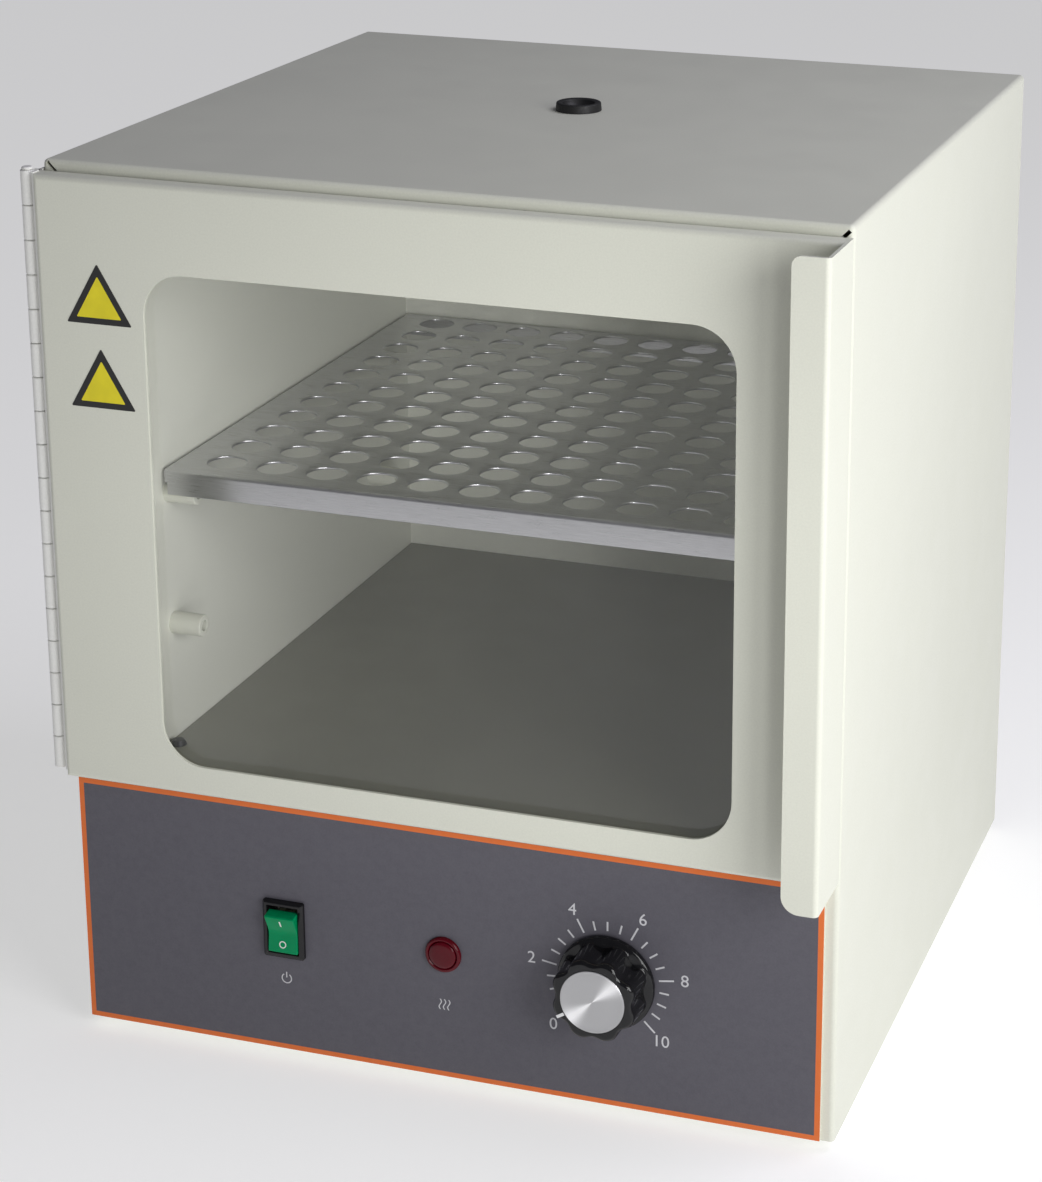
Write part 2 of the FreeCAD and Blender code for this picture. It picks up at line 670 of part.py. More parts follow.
def make_hinge():
    """Piano hinge down the left edge: two leaves with alternate knuckles on one pin."""
    pitch = "(hinge_long / knuckles)"
    leaf_x = ("-case_wide / 2 - leaf", "-case_wide / 2")
    leaf_z = ("hinge_low", "hinge_low + hinge_long - 0.3")
    fixed = [block("case_leaf_plate", leaf_x, ("hinge_y + knuckle_radius - leaf", "26"), leaf_z)]
    moving = [block("door_leaf_plate", leaf_x, ("-7.2", "hinge_y + 1"), leaf_z)]
    for number in range(int(size_of("knuckles"))):
        low = f"hinge_low + {number} * {pitch}"
        barrel = rod(f"knuckle_{number}", "z", "hinge_x", "hinge_y", low, "knuckle_radius", f"{pitch} - 0.3")
        if number % 2 == 0:
            bridge_y = ("hinge_y - knuckle_radius", "hinge_y - knuckle_radius + leaf")
            leaf = moving
        else:
            bridge_y = ("hinge_y + knuckle_radius - leaf", "hinge_y + knuckle_radius")
            leaf = fixed
        bridge = block(f"knuckle_bridge_{number}", ("hinge_x", "-case_wide / 2"), bridge_y,
                       (low, f"{low} + {pitch} - 0.3"))
        leaf.extend([barrel, bridge])
    holes = []
    rivets = []
    for number in range(6):
        z = f"hinge_low + 15 + {number} * 37.5"
        holes.append(rod(f"leaf_hole_{number}", "x", "-case_wide / 2 - 2", "16", z, "1.5", "3"))
        head = rod(f"rivet_head_{number}", "x", "-case_wide / 2 - leaf - 0.9", "16", z, "2.4", "0.9")
        shank = rod(f"rivet_shank_{number}", "x", "-case_wide / 2 - leaf - 0.1", "16", z, "1.4", "leaf + 0.1")
        rivets.append(fuse(f"rivet_{number}", [head, shank]))
    for label, pieces, tools in (("hinge_case_leaf", fixed, holes), ("hinge_door_leaf", moving, [])):
        bore = rod(f"{label}_bore", "z", "hinge_x", "hinge_y", "hinge_low - 1", "hinge_pin_radius + 0.05",
                   "hinge_long + 2")
        node(label, cut(f"{label}_shell", fuse(f"{label}_solid", pieces), [bore] + tools))
    pin = rod("pin_shank", "z", "hinge_x", "hinge_y", "hinge_low - 0.6", "hinge_pin_radius",
              "hinge_long + 0.8")
    head = rod("pin_head", "z", "hinge_x", "hinge_y", "hinge_low + hinge_long", "1.9", "0.8")
    node("hinge_pin", fuse("pin_solid", [pin, head]))
    node("hinge_rivets", group("rivet_group", rivets))


# ---------------------------------------------------------------- controls

PANEL_FACE = "-(sheet + overlay)"


def control_holes(name, slack):
    """Tools that pierce the panel for the switch, the lamp and the thermostat."""
    return [
        block(f"{name}_switch_hole", (f"switch_x - 6.5 - {slack}", f"switch_x + 6.5 + {slack}"), ("-4", "4"),
              (f"control_z - 9.7 - {slack}", f"control_z + 9.7 + {slack}")),
        rod(f"{name}_lamp_hole", "y", "0", "-4", "control_z", f"5.7 + {slack}", "8"),
        rod(f"{name}_bush_hole", "y", "dial_x", "-4", "control_z", f"4.9 + {slack}", "8"),
    ]


def make_panel():
    """Control panel sheet and the printed film that covers it."""
    wide = ("panel_left", "panel_right")
    tall = ("panel_low", "panel_top")
    plate = block("panel_block", wide, ("-sheet", "0"), tall)
    node("control_panel", cut("panel_shell", plate, control_holes("panel", 0)))
    film = block("film_block", wide, (PANEL_FACE, "-sheet"), tall)
    node("panel_overlay", cut("film_shell", film, control_holes("film", 0.1)))


def make_switch():
    """Rocker switch: the moulded housing and the rocker that tilts in it."""
    bezel = block("bezel_block", ("switch_x - 7.7", "switch_x + 7.7"), (f"{PANEL_FACE} - 2", PANEL_FACE),
                  ("control_z - 10.9", "control_z + 10.9"))
    case = block("switch_block", ("switch_x - 6.4", "switch_x + 6.4"), (PANEL_FACE, "18"),
                 ("control_z - 9.6", "control_z + 9.6"))
    well = block("switch_well", ("switch_x - 5.9", "switch_x + 5.9"), ("-5", "6"),
                 ("control_z - 9", "control_z + 9"))
    pivot = rod("switch_pivot_hole", "x", "switch_x - 6.5", "1", "control_z", "1.05", "13")
    node("switch_housing", cut("switch_shell", fuse("switch_solid", [bezel, case]), [well, pivot]))
    half, tilt = 7.6, 10
    outline = [(-6.6, half), (-4.4, 0), (-6.6, -half), (-2, -half), (-2, half)]
    turned = []
    for y, z in outline:
        turned.append(VECTOR(-5.55, y * cos(radians(tilt)) - z * sin(radians(tilt)),
                             y * sin(radians(tilt)) + z * cos(radians(tilt))))
    profile = Part.Face(Part.makePolygon(turned + turned[:1]))
    blade = profile.extrude(VECTOR(11.1, 0, 0))
    hub = Part.makeCylinder(2.4, 11.1, VECTOR(-5.55, 0, 0), VECTOR(1, 0, 0))
    pins = Part.makeCylinder(1, 12.4, VECTOR(-6.2, 0, 0), VECTOR(1, 0, 0))
    rocker = blade.fuse([hub, pins]).removeSplitter()
    solid_node("rocker", rocker, "switch_x", "1", "control_z")


def make_lamp():
    """Indicator lamp: a rimmed body, its domed lens and the neon bulb inside."""
    rim = rod("lamp_rim", "y", "0", f"{PANEL_FACE} - 1.4", "control_z", "6.6", "1.4")
    tube = rod("lamp_tube", "y", "0", PANEL_FACE, "control_z", "5.6", "18")
    well = rod("lamp_well", "y", "0", f"{PANEL_FACE} - 2", "control_z", "5", "15")
    node("lamp_body", cut("lamp_shell", fuse("lamp_solid", [rim, tube]), [well]))
    lens = rod("lens_block", "y", "0", f"{PANEL_FACE} - 2.2", "control_z", "4.95", "4.4")
    face = -(size_of("sheet") + size_of("overlay")) - 2.2
    node("lamp_lens",
         rounded("lens_round", lens, 0.9, lambda edge: edge.Closed and abs(edge.valueAt(0).y - face) < 1e-3))
    node("lamp_bulb", rod("bulb_block", "y", "0", "4", "control_z", "2.5", "7"))


def make_thermostat():
    """Capillary thermostat behind the dial, held by a nut on its bush."""
    case = block("stat_block", ("dial_x - 17", "dial_x + 17"), ("sheet + 2", "27"),
                 ("control_z - 17", "control_z + 17"))
    bush = rod("stat_bush", "y", "dial_x", "-4", "control_z", "4.75", "8")
    bore = rod("stat_bore", "y", "dial_x", "-5", "control_z", "shaft_radius + 0.05", "15")
    node("thermostat_body", cut("stat_shell", fuse("stat_solid", [case, bush]), [bore]))
    nut = doc.addObject("Part::Prism", "bush_nut_block")
    nut.Polygon = 6
    nut.Placement = FreeCAD.Placement(VECTOR(), TURNS["y"])
    bind(nut, Circumradius="7.4", Height="1.8")
    locate(nut, "dial_x", f"{PANEL_FACE} - 1.8", "control_z")
    thread = rod("bush_nut_thread", "y", "dial_x", "-5", "control_z", "4.8", "5")
    node("bush_nut", cut("bush_nut_shell", nut, [thread]))
    node("thermostat_shaft", rod("shaft_block", "y", "dial_x", "-11", "control_z", "shaft_radius", "19"))


def make_knob():
    """Scalloped knob with a skirt, a spun aluminium cap and a bore for the shaft."""
    body = doc.addObject("PartDesign::Body", "knob_body")
    doc.recompute()
    places[body.Name] = ("dial_x", "0", "control_z")
    node("knob", body)
    circles = (
        ("knob_skirt", "knob_back", "knob_radius", "2.6"),
        ("knob_grip", "knob_back + 2.6", "knob_radius - 1.4", "knob_face - knob_back - 2.6"),
    )
    for name, offset, radius, length in circles:
        sketch = new_sketch(body, f"{name}_sketch", "XZ_Plane", offset)
        draw_circle(sketch, "0", "0", radius)
        pad(body, name, sketch, length)
    flute = new_sketch(body, "knob_flute_sketch", "XZ_Plane", "knob_face")
    draw_circle(flute, "0.5", "knob_radius + 0.2", "3.2")
    first = pocket(body, "knob_flute", flute, "knob_face - knob_back - 2.6")
    ring = body.newObject("PartDesign::PolarPattern", "knob_flutes")
    ring.Originals = [first]
    ring.Axis = (flute, ["N_Axis"])
    ring.Angle = 360
    ring.Occurrences = 8
    body.Tip = ring
    doc.recompute()
    recess = new_sketch(body, "knob_recess_sketch", "XZ_Plane", "knob_face")
    draw_circle(recess, "0", "0", "cap_radius + 0.1")
    pocket(body, "knob_recess", recess, "0.6")
    for name, radius, depth in (("knob_nut_room", "8.6", "2.6"), ("knob_bore", "shaft_radius + 0.02", "9")):
        sketch = new_sketch(body, f"{name}_sketch", "XZ_Plane", "knob_back")
        draw_circle(sketch, "0", "0", radius)
        pocket(body, name, sketch, depth, reverse=True)
    cap = rod("cap_block", "y", "dial_x", "-knob_face - 0.3", "control_z", "cap_radius", "0.9")
    node("knob_cap", cap)


# ---------------------------------------------------------------- rear inlet and wiring

def make_inlet():
    """Mains inlet in the rear panel, its pins, and the drawer that holds the fuse."""
    x = ("inlet_x", "inlet_x")
    flange = block("inlet_flange", (f"{x[0]} - 16", f"{x[1]} + 16"), ("case_deep", "case_deep + 2"),
                   ("inlet_z - 18", "inlet_z + 18"))
    shell = block("inlet_shell", (f"{x[0]} - 13.5", f"{x[1]} + 13.5"), ("case_deep - 24", "case_deep"),
                  ("inlet_z - 15.1", "inlet_z + 15.1"))
    socket = block("inlet_socket", (f"{x[0]} - 12.2", f"{x[1]} + 12.2"), ("case_deep - 16", "case_deep + 3"),
                   ("inlet_z - 13.6", "inlet_z + 2.6"))
    slot = block("inlet_slot", (f"{x[0]} - 10.5", f"{x[1]} + 10.5"), ("case_deep - 22", "case_deep + 3"),
                 ("inlet_z + 5.3", "inlet_z + 12.5"))
    node("power_inlet", cut("inlet_body", fuse("inlet_solid", [flange, shell]), [socket, slot]))
    pins = []
    for number, (across, up) in enumerate(((-7, -7), (0, -3), (7, -7))):
        pins.append(block(f"inlet_pin_{number}", (f"inlet_x + {across} - 1", f"inlet_x + {across} + 1"),
                          ("case_deep - 16", "case_deep - 5"), (f"inlet_z + {up} - 2",
                                                                f"inlet_z + {up} + 2")))
    node("inlet_pins", group("pin_group", pins))
    tray = block("drawer_block", (f"{x[0]} - 10.2", f"{x[1]} + 10.2"), ("case_deep - 21", "case_deep + 2.6"),
                 ("inlet_z + 5.6", "inlet_z + 12.2"))
    trough = block("drawer_trough", (f"{x[0]} - 2.8", f"{x[1]} + 2.8"), ("case_deep - 19", "case_deep - 1"),
                   ("inlet_z + 6.6", "inlet_z + 13"))
    node("fuse_drawer", cut("drawer_shell", tray, [trough]))
    node("fuse", rod("fuse_block", "y", "inlet_x", "case_deep - 18.8", "inlet_z + 9.2", "2.5", "17.6"))


def make_terminals():
    """Terminal block on the base pan and the earth stud with its nut."""
    base = block("terminal_base", ("20", "60"), ("236", "250"),
                 ("case_base + sheet", "case_base + sheet + 15"))
    wells = [rod(f"terminal_well_{number}", "z", f"25 + {number} * 10", "243", "case_base + sheet + 6",
                 "2.6", "12")
             for number in range(4)]
    node("terminal_block", cut("terminal_shell", base, wells))
    stud = rod("stud_rod", "z", "-40", "232", "case_base", "2", "16")
    nut = rod("stud_nut", "z", "-40", "232", "case_base + sheet", "3.8", "3.2")
    node("earth_stud", fuse("stud_solid", [stud, nut]))


def bent_path(points):
    """Straight runs through the points, joined by tangent arcs."""
    points = [VECTOR(*point) for point in points]
    edges = []
    start = points[0]
    for before, corner, after in zip(points, points[1:], points[2:]):
        back = (before - corner).normalize()
        ahead = (after - corner).normalize()
        half_turn = (pi - back.getAngle(ahead)) / 2
        reach = min(0.45 * min((before - corner).Length, (after - corner).Length), 14)
        radius = reach / abs(sin(half_turn) / cos(half_turn))
        entry = corner + back * reach
        leave = corner + ahead * reach
        middle_way = (back + ahead).normalize()
        middle = corner + middle_way * (radius / cos(half_turn) - radius)
        edges.append(Part.LineSegment(start, entry).toShape())
        edges.append(Part.Arc(entry, middle, leave).toShape())
        start = leave
    edges.append(Part.LineSegment(start, points[-1]).toShape())
    return Part.Wire(edges)


def tube(points, radius):
    """Sweep a round section along a bent path."""
    path = bent_path(points)
    first = VECTOR(*points[1]) - VECTOR(*points[0])
    section = Part.Wire([Part.Circle(VECTOR(*points[0]), first, radius).toShape()])
    return path.makePipeShell([section], True, False)


def make_wiring():
    """Wires from the inlet to the switch, thermostat, cut-out, heater and lamp."""
    inlet_x, inlet_z = size_of("inlet_x"), size_of("inlet_z")
    control_z, dial_x, switch_x = size_of("control_z"), size_of("dial_x"), size_of("switch_x")
    floor = size_of("chamber_floor")
    rear = size_of("case_deep") - 24
    routes = {
        "live_wires": [
            [(inlet_x - 7, rear, inlet_z), (inlet_x - 7, rear - 24, inlet_z + 4),
             (switch_x - 2, 60, control_z + 8),
             (switch_x, 18, control_z + 5)],
            [(switch_x + 2, 18, control_z - 4), (switch_x + 8, 42, 44), (dial_x - 12, 58, 48),
             (dial_x - 6, 27, control_z - 8)],
            [(dial_x, 27, control_z + 9), (dial_x - 2, 62, 68), (2, 104, 72), (-4, 131, floor - 20)],
        ],
        "neutral_wires": [
            [(inlet_x + 7, rear, inlet_z), (inlet_x + 14, rear - 26, 34), (4, 226, 24), (19.9, 243, 14)],
            [(40, 235.9, 16), (44, 208, 30), (70, 186, 60), (88, 205, floor - 11), (88, 205, floor - 4.7)],
            [(30, 235.9, 16), (24, 180, 24), (6, 60, 34), (0, 16.5, control_z)],
        ],
        "earth_wire": [
            [(inlet_x, rear, inlet_z - 8), (inlet_x + 4, rear - 18, 30), (-52, 222, 16), (-43.9, 230, 14)],
        ],
        "heater_lead": [
            [(4, 131, floor - 20), (14, 150, 74), (60, 190, 76), (80, 212, floor - 11),
             (80, 212, floor - 4.7)],
        ],
    }
    for label, wires in routes.items():
        radius = 1.0 if label == "heater_lead" else 1.1
        solid_node(label, Part.makeCompound([tube(points, radius) for points in wires]))


def make_sensor():
    """Capillary tube and bulb that sense the chamber, with two clips on the wall."""
    dial_x, floor = size_of("dial_x"), size_of("chamber_floor")
    wall = size_of("chamber_half")
    bulb_x, bulb_z, hole_y = wall - 16, floor + 22, 205
    route = [(dial_x + 12, 27, 62), (dial_x + 14, 56, 66), (bulb_x, 120, 78), (bulb_x, hole_y, 80),
             (bulb_x, hole_y, bulb_z), (bulb_x, hole_y - 30, bulb_z)]
    solid_node("sensor_tube", tube(route, 0.9))
    node("sensor_bulb", rod("bulb_rod", "y", str(bulb_x), str(hole_y - 90), str(bulb_z), "3", "60"))
    clips = [block(f"bulb_clip_{number}", (f"{bulb_x} + 3", "chamber_half"), (f"{y}", f"{y} + 5"),
                   (f"{bulb_z} - 4", f"{bulb_z} + 4")) for number, y in enumerate((124, 162))]
    node("bulb_clips", group("bulb_clip_group", clips))


def check_and_export():
    """Stop unless every object is sound, then write one file per sub-part."""
    doc.recompute()
    faults = [item.Name for item in doc.Objects if set(item.State) & {"Invalid", "Error"}]
    for item in nodes:
        if item.Shape.isNull() or not item.Shape.isValid() or not item.Shape.Solids:
            faults.append(item.Label)
    if faults:
        raise RuntimeError("unsound: " + ", ".join(faults))
    os.makedirs("parts", exist_ok=True)
    for item in nodes:
        item.Shape.exportStep(f"parts/{item.Label}.step")


fill_sheet()
for make in (make_outer_wrap, make_base_pan, make_feet, make_back_panel, make_back_screws, make_chamber_liner,
             make_chamber_floor, make_floor_screws, make_shelf_pegs, make_insulation, make_heater, make_port,
             make_shelf, make_door_panel, make_window_pane, make_gasket, make_catch, make_stickers, make_hinge,
             make_panel, make_switch, make_lamp, make_thermostat, make_knob, make_inlet, make_terminals,
             make_wiring, make_sensor):
    make()
check_and_export()
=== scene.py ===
import json
from math import cos, pi, radians, sin

import bmesh
import bpy
import numpy as np
from bpy.props import FloatProperty, FloatVectorProperty, IntProperty, PointerProperty
from mathutils import Matrix, Vector


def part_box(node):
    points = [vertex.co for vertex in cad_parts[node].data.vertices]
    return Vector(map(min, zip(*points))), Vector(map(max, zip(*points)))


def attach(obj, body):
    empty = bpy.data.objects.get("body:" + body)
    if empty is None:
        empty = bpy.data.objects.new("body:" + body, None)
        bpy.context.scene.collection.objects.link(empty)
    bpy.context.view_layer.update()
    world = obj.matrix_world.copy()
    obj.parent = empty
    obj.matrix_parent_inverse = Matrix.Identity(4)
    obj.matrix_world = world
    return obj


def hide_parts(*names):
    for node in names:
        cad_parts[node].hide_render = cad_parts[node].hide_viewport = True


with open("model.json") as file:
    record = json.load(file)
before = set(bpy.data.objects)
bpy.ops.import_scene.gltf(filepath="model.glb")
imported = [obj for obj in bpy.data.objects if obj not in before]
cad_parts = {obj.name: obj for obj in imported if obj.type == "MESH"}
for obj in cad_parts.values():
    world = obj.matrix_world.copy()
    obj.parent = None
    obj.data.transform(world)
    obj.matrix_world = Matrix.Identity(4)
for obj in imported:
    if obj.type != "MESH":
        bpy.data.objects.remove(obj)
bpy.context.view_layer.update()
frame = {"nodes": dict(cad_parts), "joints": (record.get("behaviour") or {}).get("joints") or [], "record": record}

bl_info = {
    "name": "Compact Laboratory Incubator",
    "version": (1, 0, 0),
    "blender": (4, 5, 0),
    "location": "View3D > Sidebar > Incubator",
    "description": "Builds the finished surfaces of a compact laboratory incubator around its packed frame",
    "category": "Add Mesh",
}

NODES = frame["nodes"]
MM = 0.001


def corners(node):
    """Lowest and highest corner of a frame node at rest, as two arrays in metres."""
    low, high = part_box(node)
    return np.array(low, float), np.array(high, float)


def middle(node):
    """Centre of a frame node's box."""
    low, high = corners(node)
    return (low + high) / 2


# ---------------------------------------------------------------- finishes


class Finish:
    """A node material under construction, with short calls for the nodes that recur."""

    def __init__(self, name, **sockets):
        self.material = bpy.data.materials.new(name)
        self.material.use_nodes = True
        self.tree = self.material.node_tree
        self.tree.nodes.clear()
        self.output = self.add("ShaderNodeOutputMaterial")
        self.shader = self.add("ShaderNodeBsdfPrincipled")
        self.join(self.shader.outputs["BSDF"], self.output.inputs["Surface"])
        self.place = self.add("ShaderNodeTexCoord").outputs["Object"]
        for socket, value in sockets.items():
            self.shader.inputs[socket.replace("_", " ")].default_value = value

    def add(self, kind, **settings):
        """Add a node and set its properties."""
        node = self.tree.nodes.new(kind)
        for name, value in settings.items():
            setattr(node, name, value)
        return node

    def join(self, source, target):
        """Link an output socket to an input socket."""
        self.tree.links.new(source, target)

    def stretched(self, scale, centre=(0, 0, 0)):
        """Object coordinates moved so that centre is zero, then scaled along each axis."""
        node = self.add("ShaderNodeMapping", vector_type="TEXTURE")
        node.inputs["Location"].default_value = centre
        node.inputs["Scale"].default_value = scale
        self.join(self.place, node.inputs["Vector"])
        return node.outputs["Vector"]

    def noise(self, scale, detail=3.0, vector=None):
        """Even noise on the object's coordinates, or on a vector."""
        node = self.add("ShaderNodeTexNoise")
        node.inputs["Scale"].default_value = scale
        node.inputs["Detail"].default_value = detail
        self.join(vector or self.place, node.inputs["Vector"])
        return node.outputs["Fac"]

    def spread(self, value, low, high, start=0.3, end=0.7):
        """Map a value between start and end to the range low to high."""
        node = self.add("ShaderNodeMapRange")
        for name, number in (("From Min", start), ("From Max", end), ("To Min", low), ("To Max", high)):
            node.inputs[name].default_value = number
        self.join(value, node.inputs["Value"])
        return node.outputs["Result"]

    def blend(self, factor, first, second):
        """Mix two colours, or the colours of two sockets, by a factor."""
        node = self.add("ShaderNodeMix", data_type="RGBA")
        self.join(factor, node.inputs["Factor"])
        for name, colour in (("A", first), ("B", second)):
            socket = [item for item in node.inputs if item.name == name and item.type == "RGBA"][0]
            if isinstance(colour, bpy.types.NodeSocket):
                self.join(colour, socket)
            else:
                socket.default_value = (*colour, 1)
        return [item for item in node.outputs if item.type == "RGBA"][0]

    def maths(self, operation, first, second=0.0):
        """One sum on two numbers or sockets."""
        node = self.add("ShaderNodeMath", operation=operation)
        for socket, value in zip(node.inputs, (first, second)):
            if isinstance(value, bpy.types.NodeSocket):
                self.join(value, socket)
            else:
                socket.default_value = value
        return node.outputs[0]

    def colour(self, source):
        """Drive the shader's colour."""
        self.join(source, self.shader.inputs["Base Color"])

    def rough(self, source):
        """Drive the shader's roughness."""
        self.join(source, self.shader.inputs["Roughness"])

    def bump(self, height, distance, strength=1.0):
        """Turn a height into a surface normal; distance is in metres."""
        node = self.add("ShaderNodeBump")
        node.inputs["Distance"].default_value = distance
        node.inputs["Strength"].default_value = strength
        self.join(height, node.inputs["Height"])
        self.join(node.outputs["Normal"], self.shader.inputs["Normal"])


def powder_coat(name, tint, grain=1500.0, depth=0.00006):
    """Fine orange-peel powder coat: two sizes of grain, slight mottling in colour and gloss."""
    finish = Finish(name, Metallic=0.0, Specular_IOR_Level=0.45)
    fine = finish.noise(grain, 2.0)
    broad = finish.noise(9.0, 2.0)
    tint = np.array(tint)
    bright = tuple(np.minimum(tint * 1.012, 1))
    mottled = finish.blend(finish.spread(broad, 0, 1), tuple(tint * 0.985), bright)
    speckled = finish.blend(finish.spread(fine, 0, 0.16), mottled, tuple(tint * 0.72))
    finish.colour(speckled)
    finish.rough(finish.spread(finish.noise(60.0, 2.0), 0.42, 0.52))
    finish.bump(fine, depth, 0.6)
    return finish.material


def brushed_steel(name, tint, along, rough=(0.24, 0.42), grain=900.0):
    """Metal with long fine scratches; along holds the stretch of the grain on each axis."""
    finish = Finish(name, Metallic=1.0)
    lines = finish.noise(grain, 3.0, finish.stretched(along))
    cloud = finish.noise(22.0, 3.0)
    tint = np.array(tint)
    streaked = finish.blend(finish.spread(lines, 0, 1), tuple(tint * 0.86), tuple(np.minimum(tint * 1.06, 1)))
    finish.colour(finish.blend(finish.spread(cloud, 0, 0.25), streaked, tuple(tint * 0.8)))
    finish.rough(finish.spread(lines, *rough))
    finish.bump(lines, 0.000008, 0.3)
    return finish.material


def plastic_finish(name, tint, rough, grain=1800.0, depth=0.00002, cloud=140.0, **sockets):
    """Plastic under construction: faint grain, small changes in gloss and a little dust in the colour."""
    finish = Finish(name, Metallic=0.0, **sockets)
    tint = np.array(tint)
    dust = finish.spread(finish.noise(cloud, 4.0), 0, 1)
    finish.colour(finish.blend(dust, tuple(tint * 0.94), tuple(tint * 1.06)))
    finish.rough(finish.spread(finish.noise(420.0, 3.0), rough * 0.85, min(rough * 1.2, 1)))
    finish.bump(finish.noise(grain, 2.0), depth, 0.35)
    return finish


def moulded_plastic(name, tint, rough, *grain, **sockets):
    """Finished plastic; the rest of its settings are those of plastic_finish."""
    return plastic_finish(name, tint, rough, *grain, **sockets).material


def printed_film():
    """Panel film: a dark ground whose rim, within the border's width of an edge, has the border's colour."""
    finish = plastic_finish("printed_film", FILM_GREY, 0.62, 1400.0, 0.00006, 1600.0)
    ground = finish.shader.inputs["Base Color"].links[0].from_socket
    low, high = corners("panel_overlay")
    split = finish.add("ShaderNodeSeparateXYZ")
    finish.join(finish.stretched((1, 1, 1), tuple((low + high) / 2)), split.inputs["Vector"])
    edges = []
    for axis, index in (("X", 0), ("Z", 2)):
        reach = (high[index] - low[index]) / 2 - sizes().border
        edges.append(finish.maths("GREATER_THAN", finish.maths("ABSOLUTE", split.outputs[axis]), reach))
    finish.colour(finish.blend(finish.maths("MAXIMUM", *edges), ground, FILM_BORDER))
    return finish.material


def clear_acrylic(name):
    """Clear sheet: all but the mirrored share of the light goes through.

    The mirrored share is 0.035 + 0.8 f to the fifth power, where f rises from 0, seen square on, to 1 at a
    grazing look; faint wipe marks add to it.
    """
    finish = Finish(name, Metallic=1.0, Base_Color=(0.95, 0.96, 0.96, 1))
    smear = finish.noise(14.0, 4.0, finish.stretched((1, 1, 3)))
    finish.rough(finish.spread(smear, 0.01, 0.05))
    facing = finish.add("ShaderNodeLayerWeight")
    facing.inputs["Blend"].default_value = 0.5
    steep = finish.maths("POWER", facing.outputs["Facing"], 5.0)
    share = finish.maths("ADD", finish.maths("MULTIPLY", steep, 0.8), finish.spread(smear, 0.03, 0.042))
    finish.join(share, finish.shader.inputs["Alpha"])
    return finish.material


def spun_metal(name, centre, tint):
    """Turned metal face: rings about the Y axis through centre, with two opposite fans of painted highlight."""
    finish = Finish(name, Metallic=1.0, Anisotropic=0.85)
    split = finish.add("ShaderNodeSeparateXYZ")
    finish.join(finish.stretched((1, 1, 1), centre), split.inputs["Vector"])
    across, up = split.outputs["X"], split.outputs["Z"]
    radius = finish.maths("SQRT", finish.maths("ADD", finish.maths("MULTIPLY", across, across),
                                               finish.maths("MULTIPLY", up, up)))
    rings = finish.maths("SINE", finish.maths("MULTIPLY", radius, 26000.0))
    angle = finish.maths("ARCTAN2", up, across)
    fans = finish.maths("ABSOLUTE", finish.maths("COSINE", finish.maths("ADD", angle, -0.72)))
    painted_highlight_fan = finish.maths("POWER", fans, 26.0)
    tint = np.array(tint)
    # Painted highlight and painted shade: the colour is bright along the fans and darker elsewhere, standing in
    # for light on the spun face.
    finish.colour(finish.blend(painted_highlight_fan, tuple(tint * 0.74), tuple(np.minimum(tint * 1.6, 1))))
    finish.rough(finish.spread(rings, 0.22, 0.34, -1, 1))
    finish.bump(rings, 0.000006, 0.4)
    return finish.material


def mineral_wool(name, tint):
    """Felted glass fibre: coarse and fine noise in the colour and the surface."""
    finish = Finish(name, Roughness=1.0, Sheen_Weight=0.3)
    strands = finish.noise(260.0, 6.0, finish.stretched((1, 1, 4)))
    tint = np.array(tint)
    finish.colour(finish.blend(finish.spread(strands, 0, 1), tuple(tint * 0.6), tuple(tint)))
    finish.bump(strands, 0.0008, 0.9)
    return finish.material


# Colours of the paints, of the panel film and its print, and of the stickers.
CREAM = (0.74, 0.75, 0.65)
# Hinge: paler than the case cream, partly a paler hinge finish and partly painted sheen standing in for its glossy
# highlights.
HINGE_CREAM_AND_PAINTED_SHEEN = (0.94, 0.94, 0.90)
# Liner: the cream paint made lighter, painted light for the chamber behind the window.
LINER_CREAM_PAINTED_LIGHTER = (0.83, 0.84, 0.75)
OLIVE = (0.24, 0.24, 0.19)
FILM_GREY = (0.102, 0.098, 0.118)
FILM_BORDER = (0.78, 0.17, 0.03)
INK = (0.62, 0.62, 0.64)
SIGN_YELLOW = (0.80, 0.69, 0.01)

# Way the knob's pointer points at rest, in degrees clockwise from straight up.
POINTER_REST = -121

# How proud the white print stands of the film.
PRINT = 0.04 * MM

MATERIALS = {}


def finish_for(slot):
    """Make, or fetch, the finish of one of the record's material slots."""
    if slot not in MATERIALS:
        MATERIALS[slot] = FINISHES[slot]()
    return MATERIALS[slot]


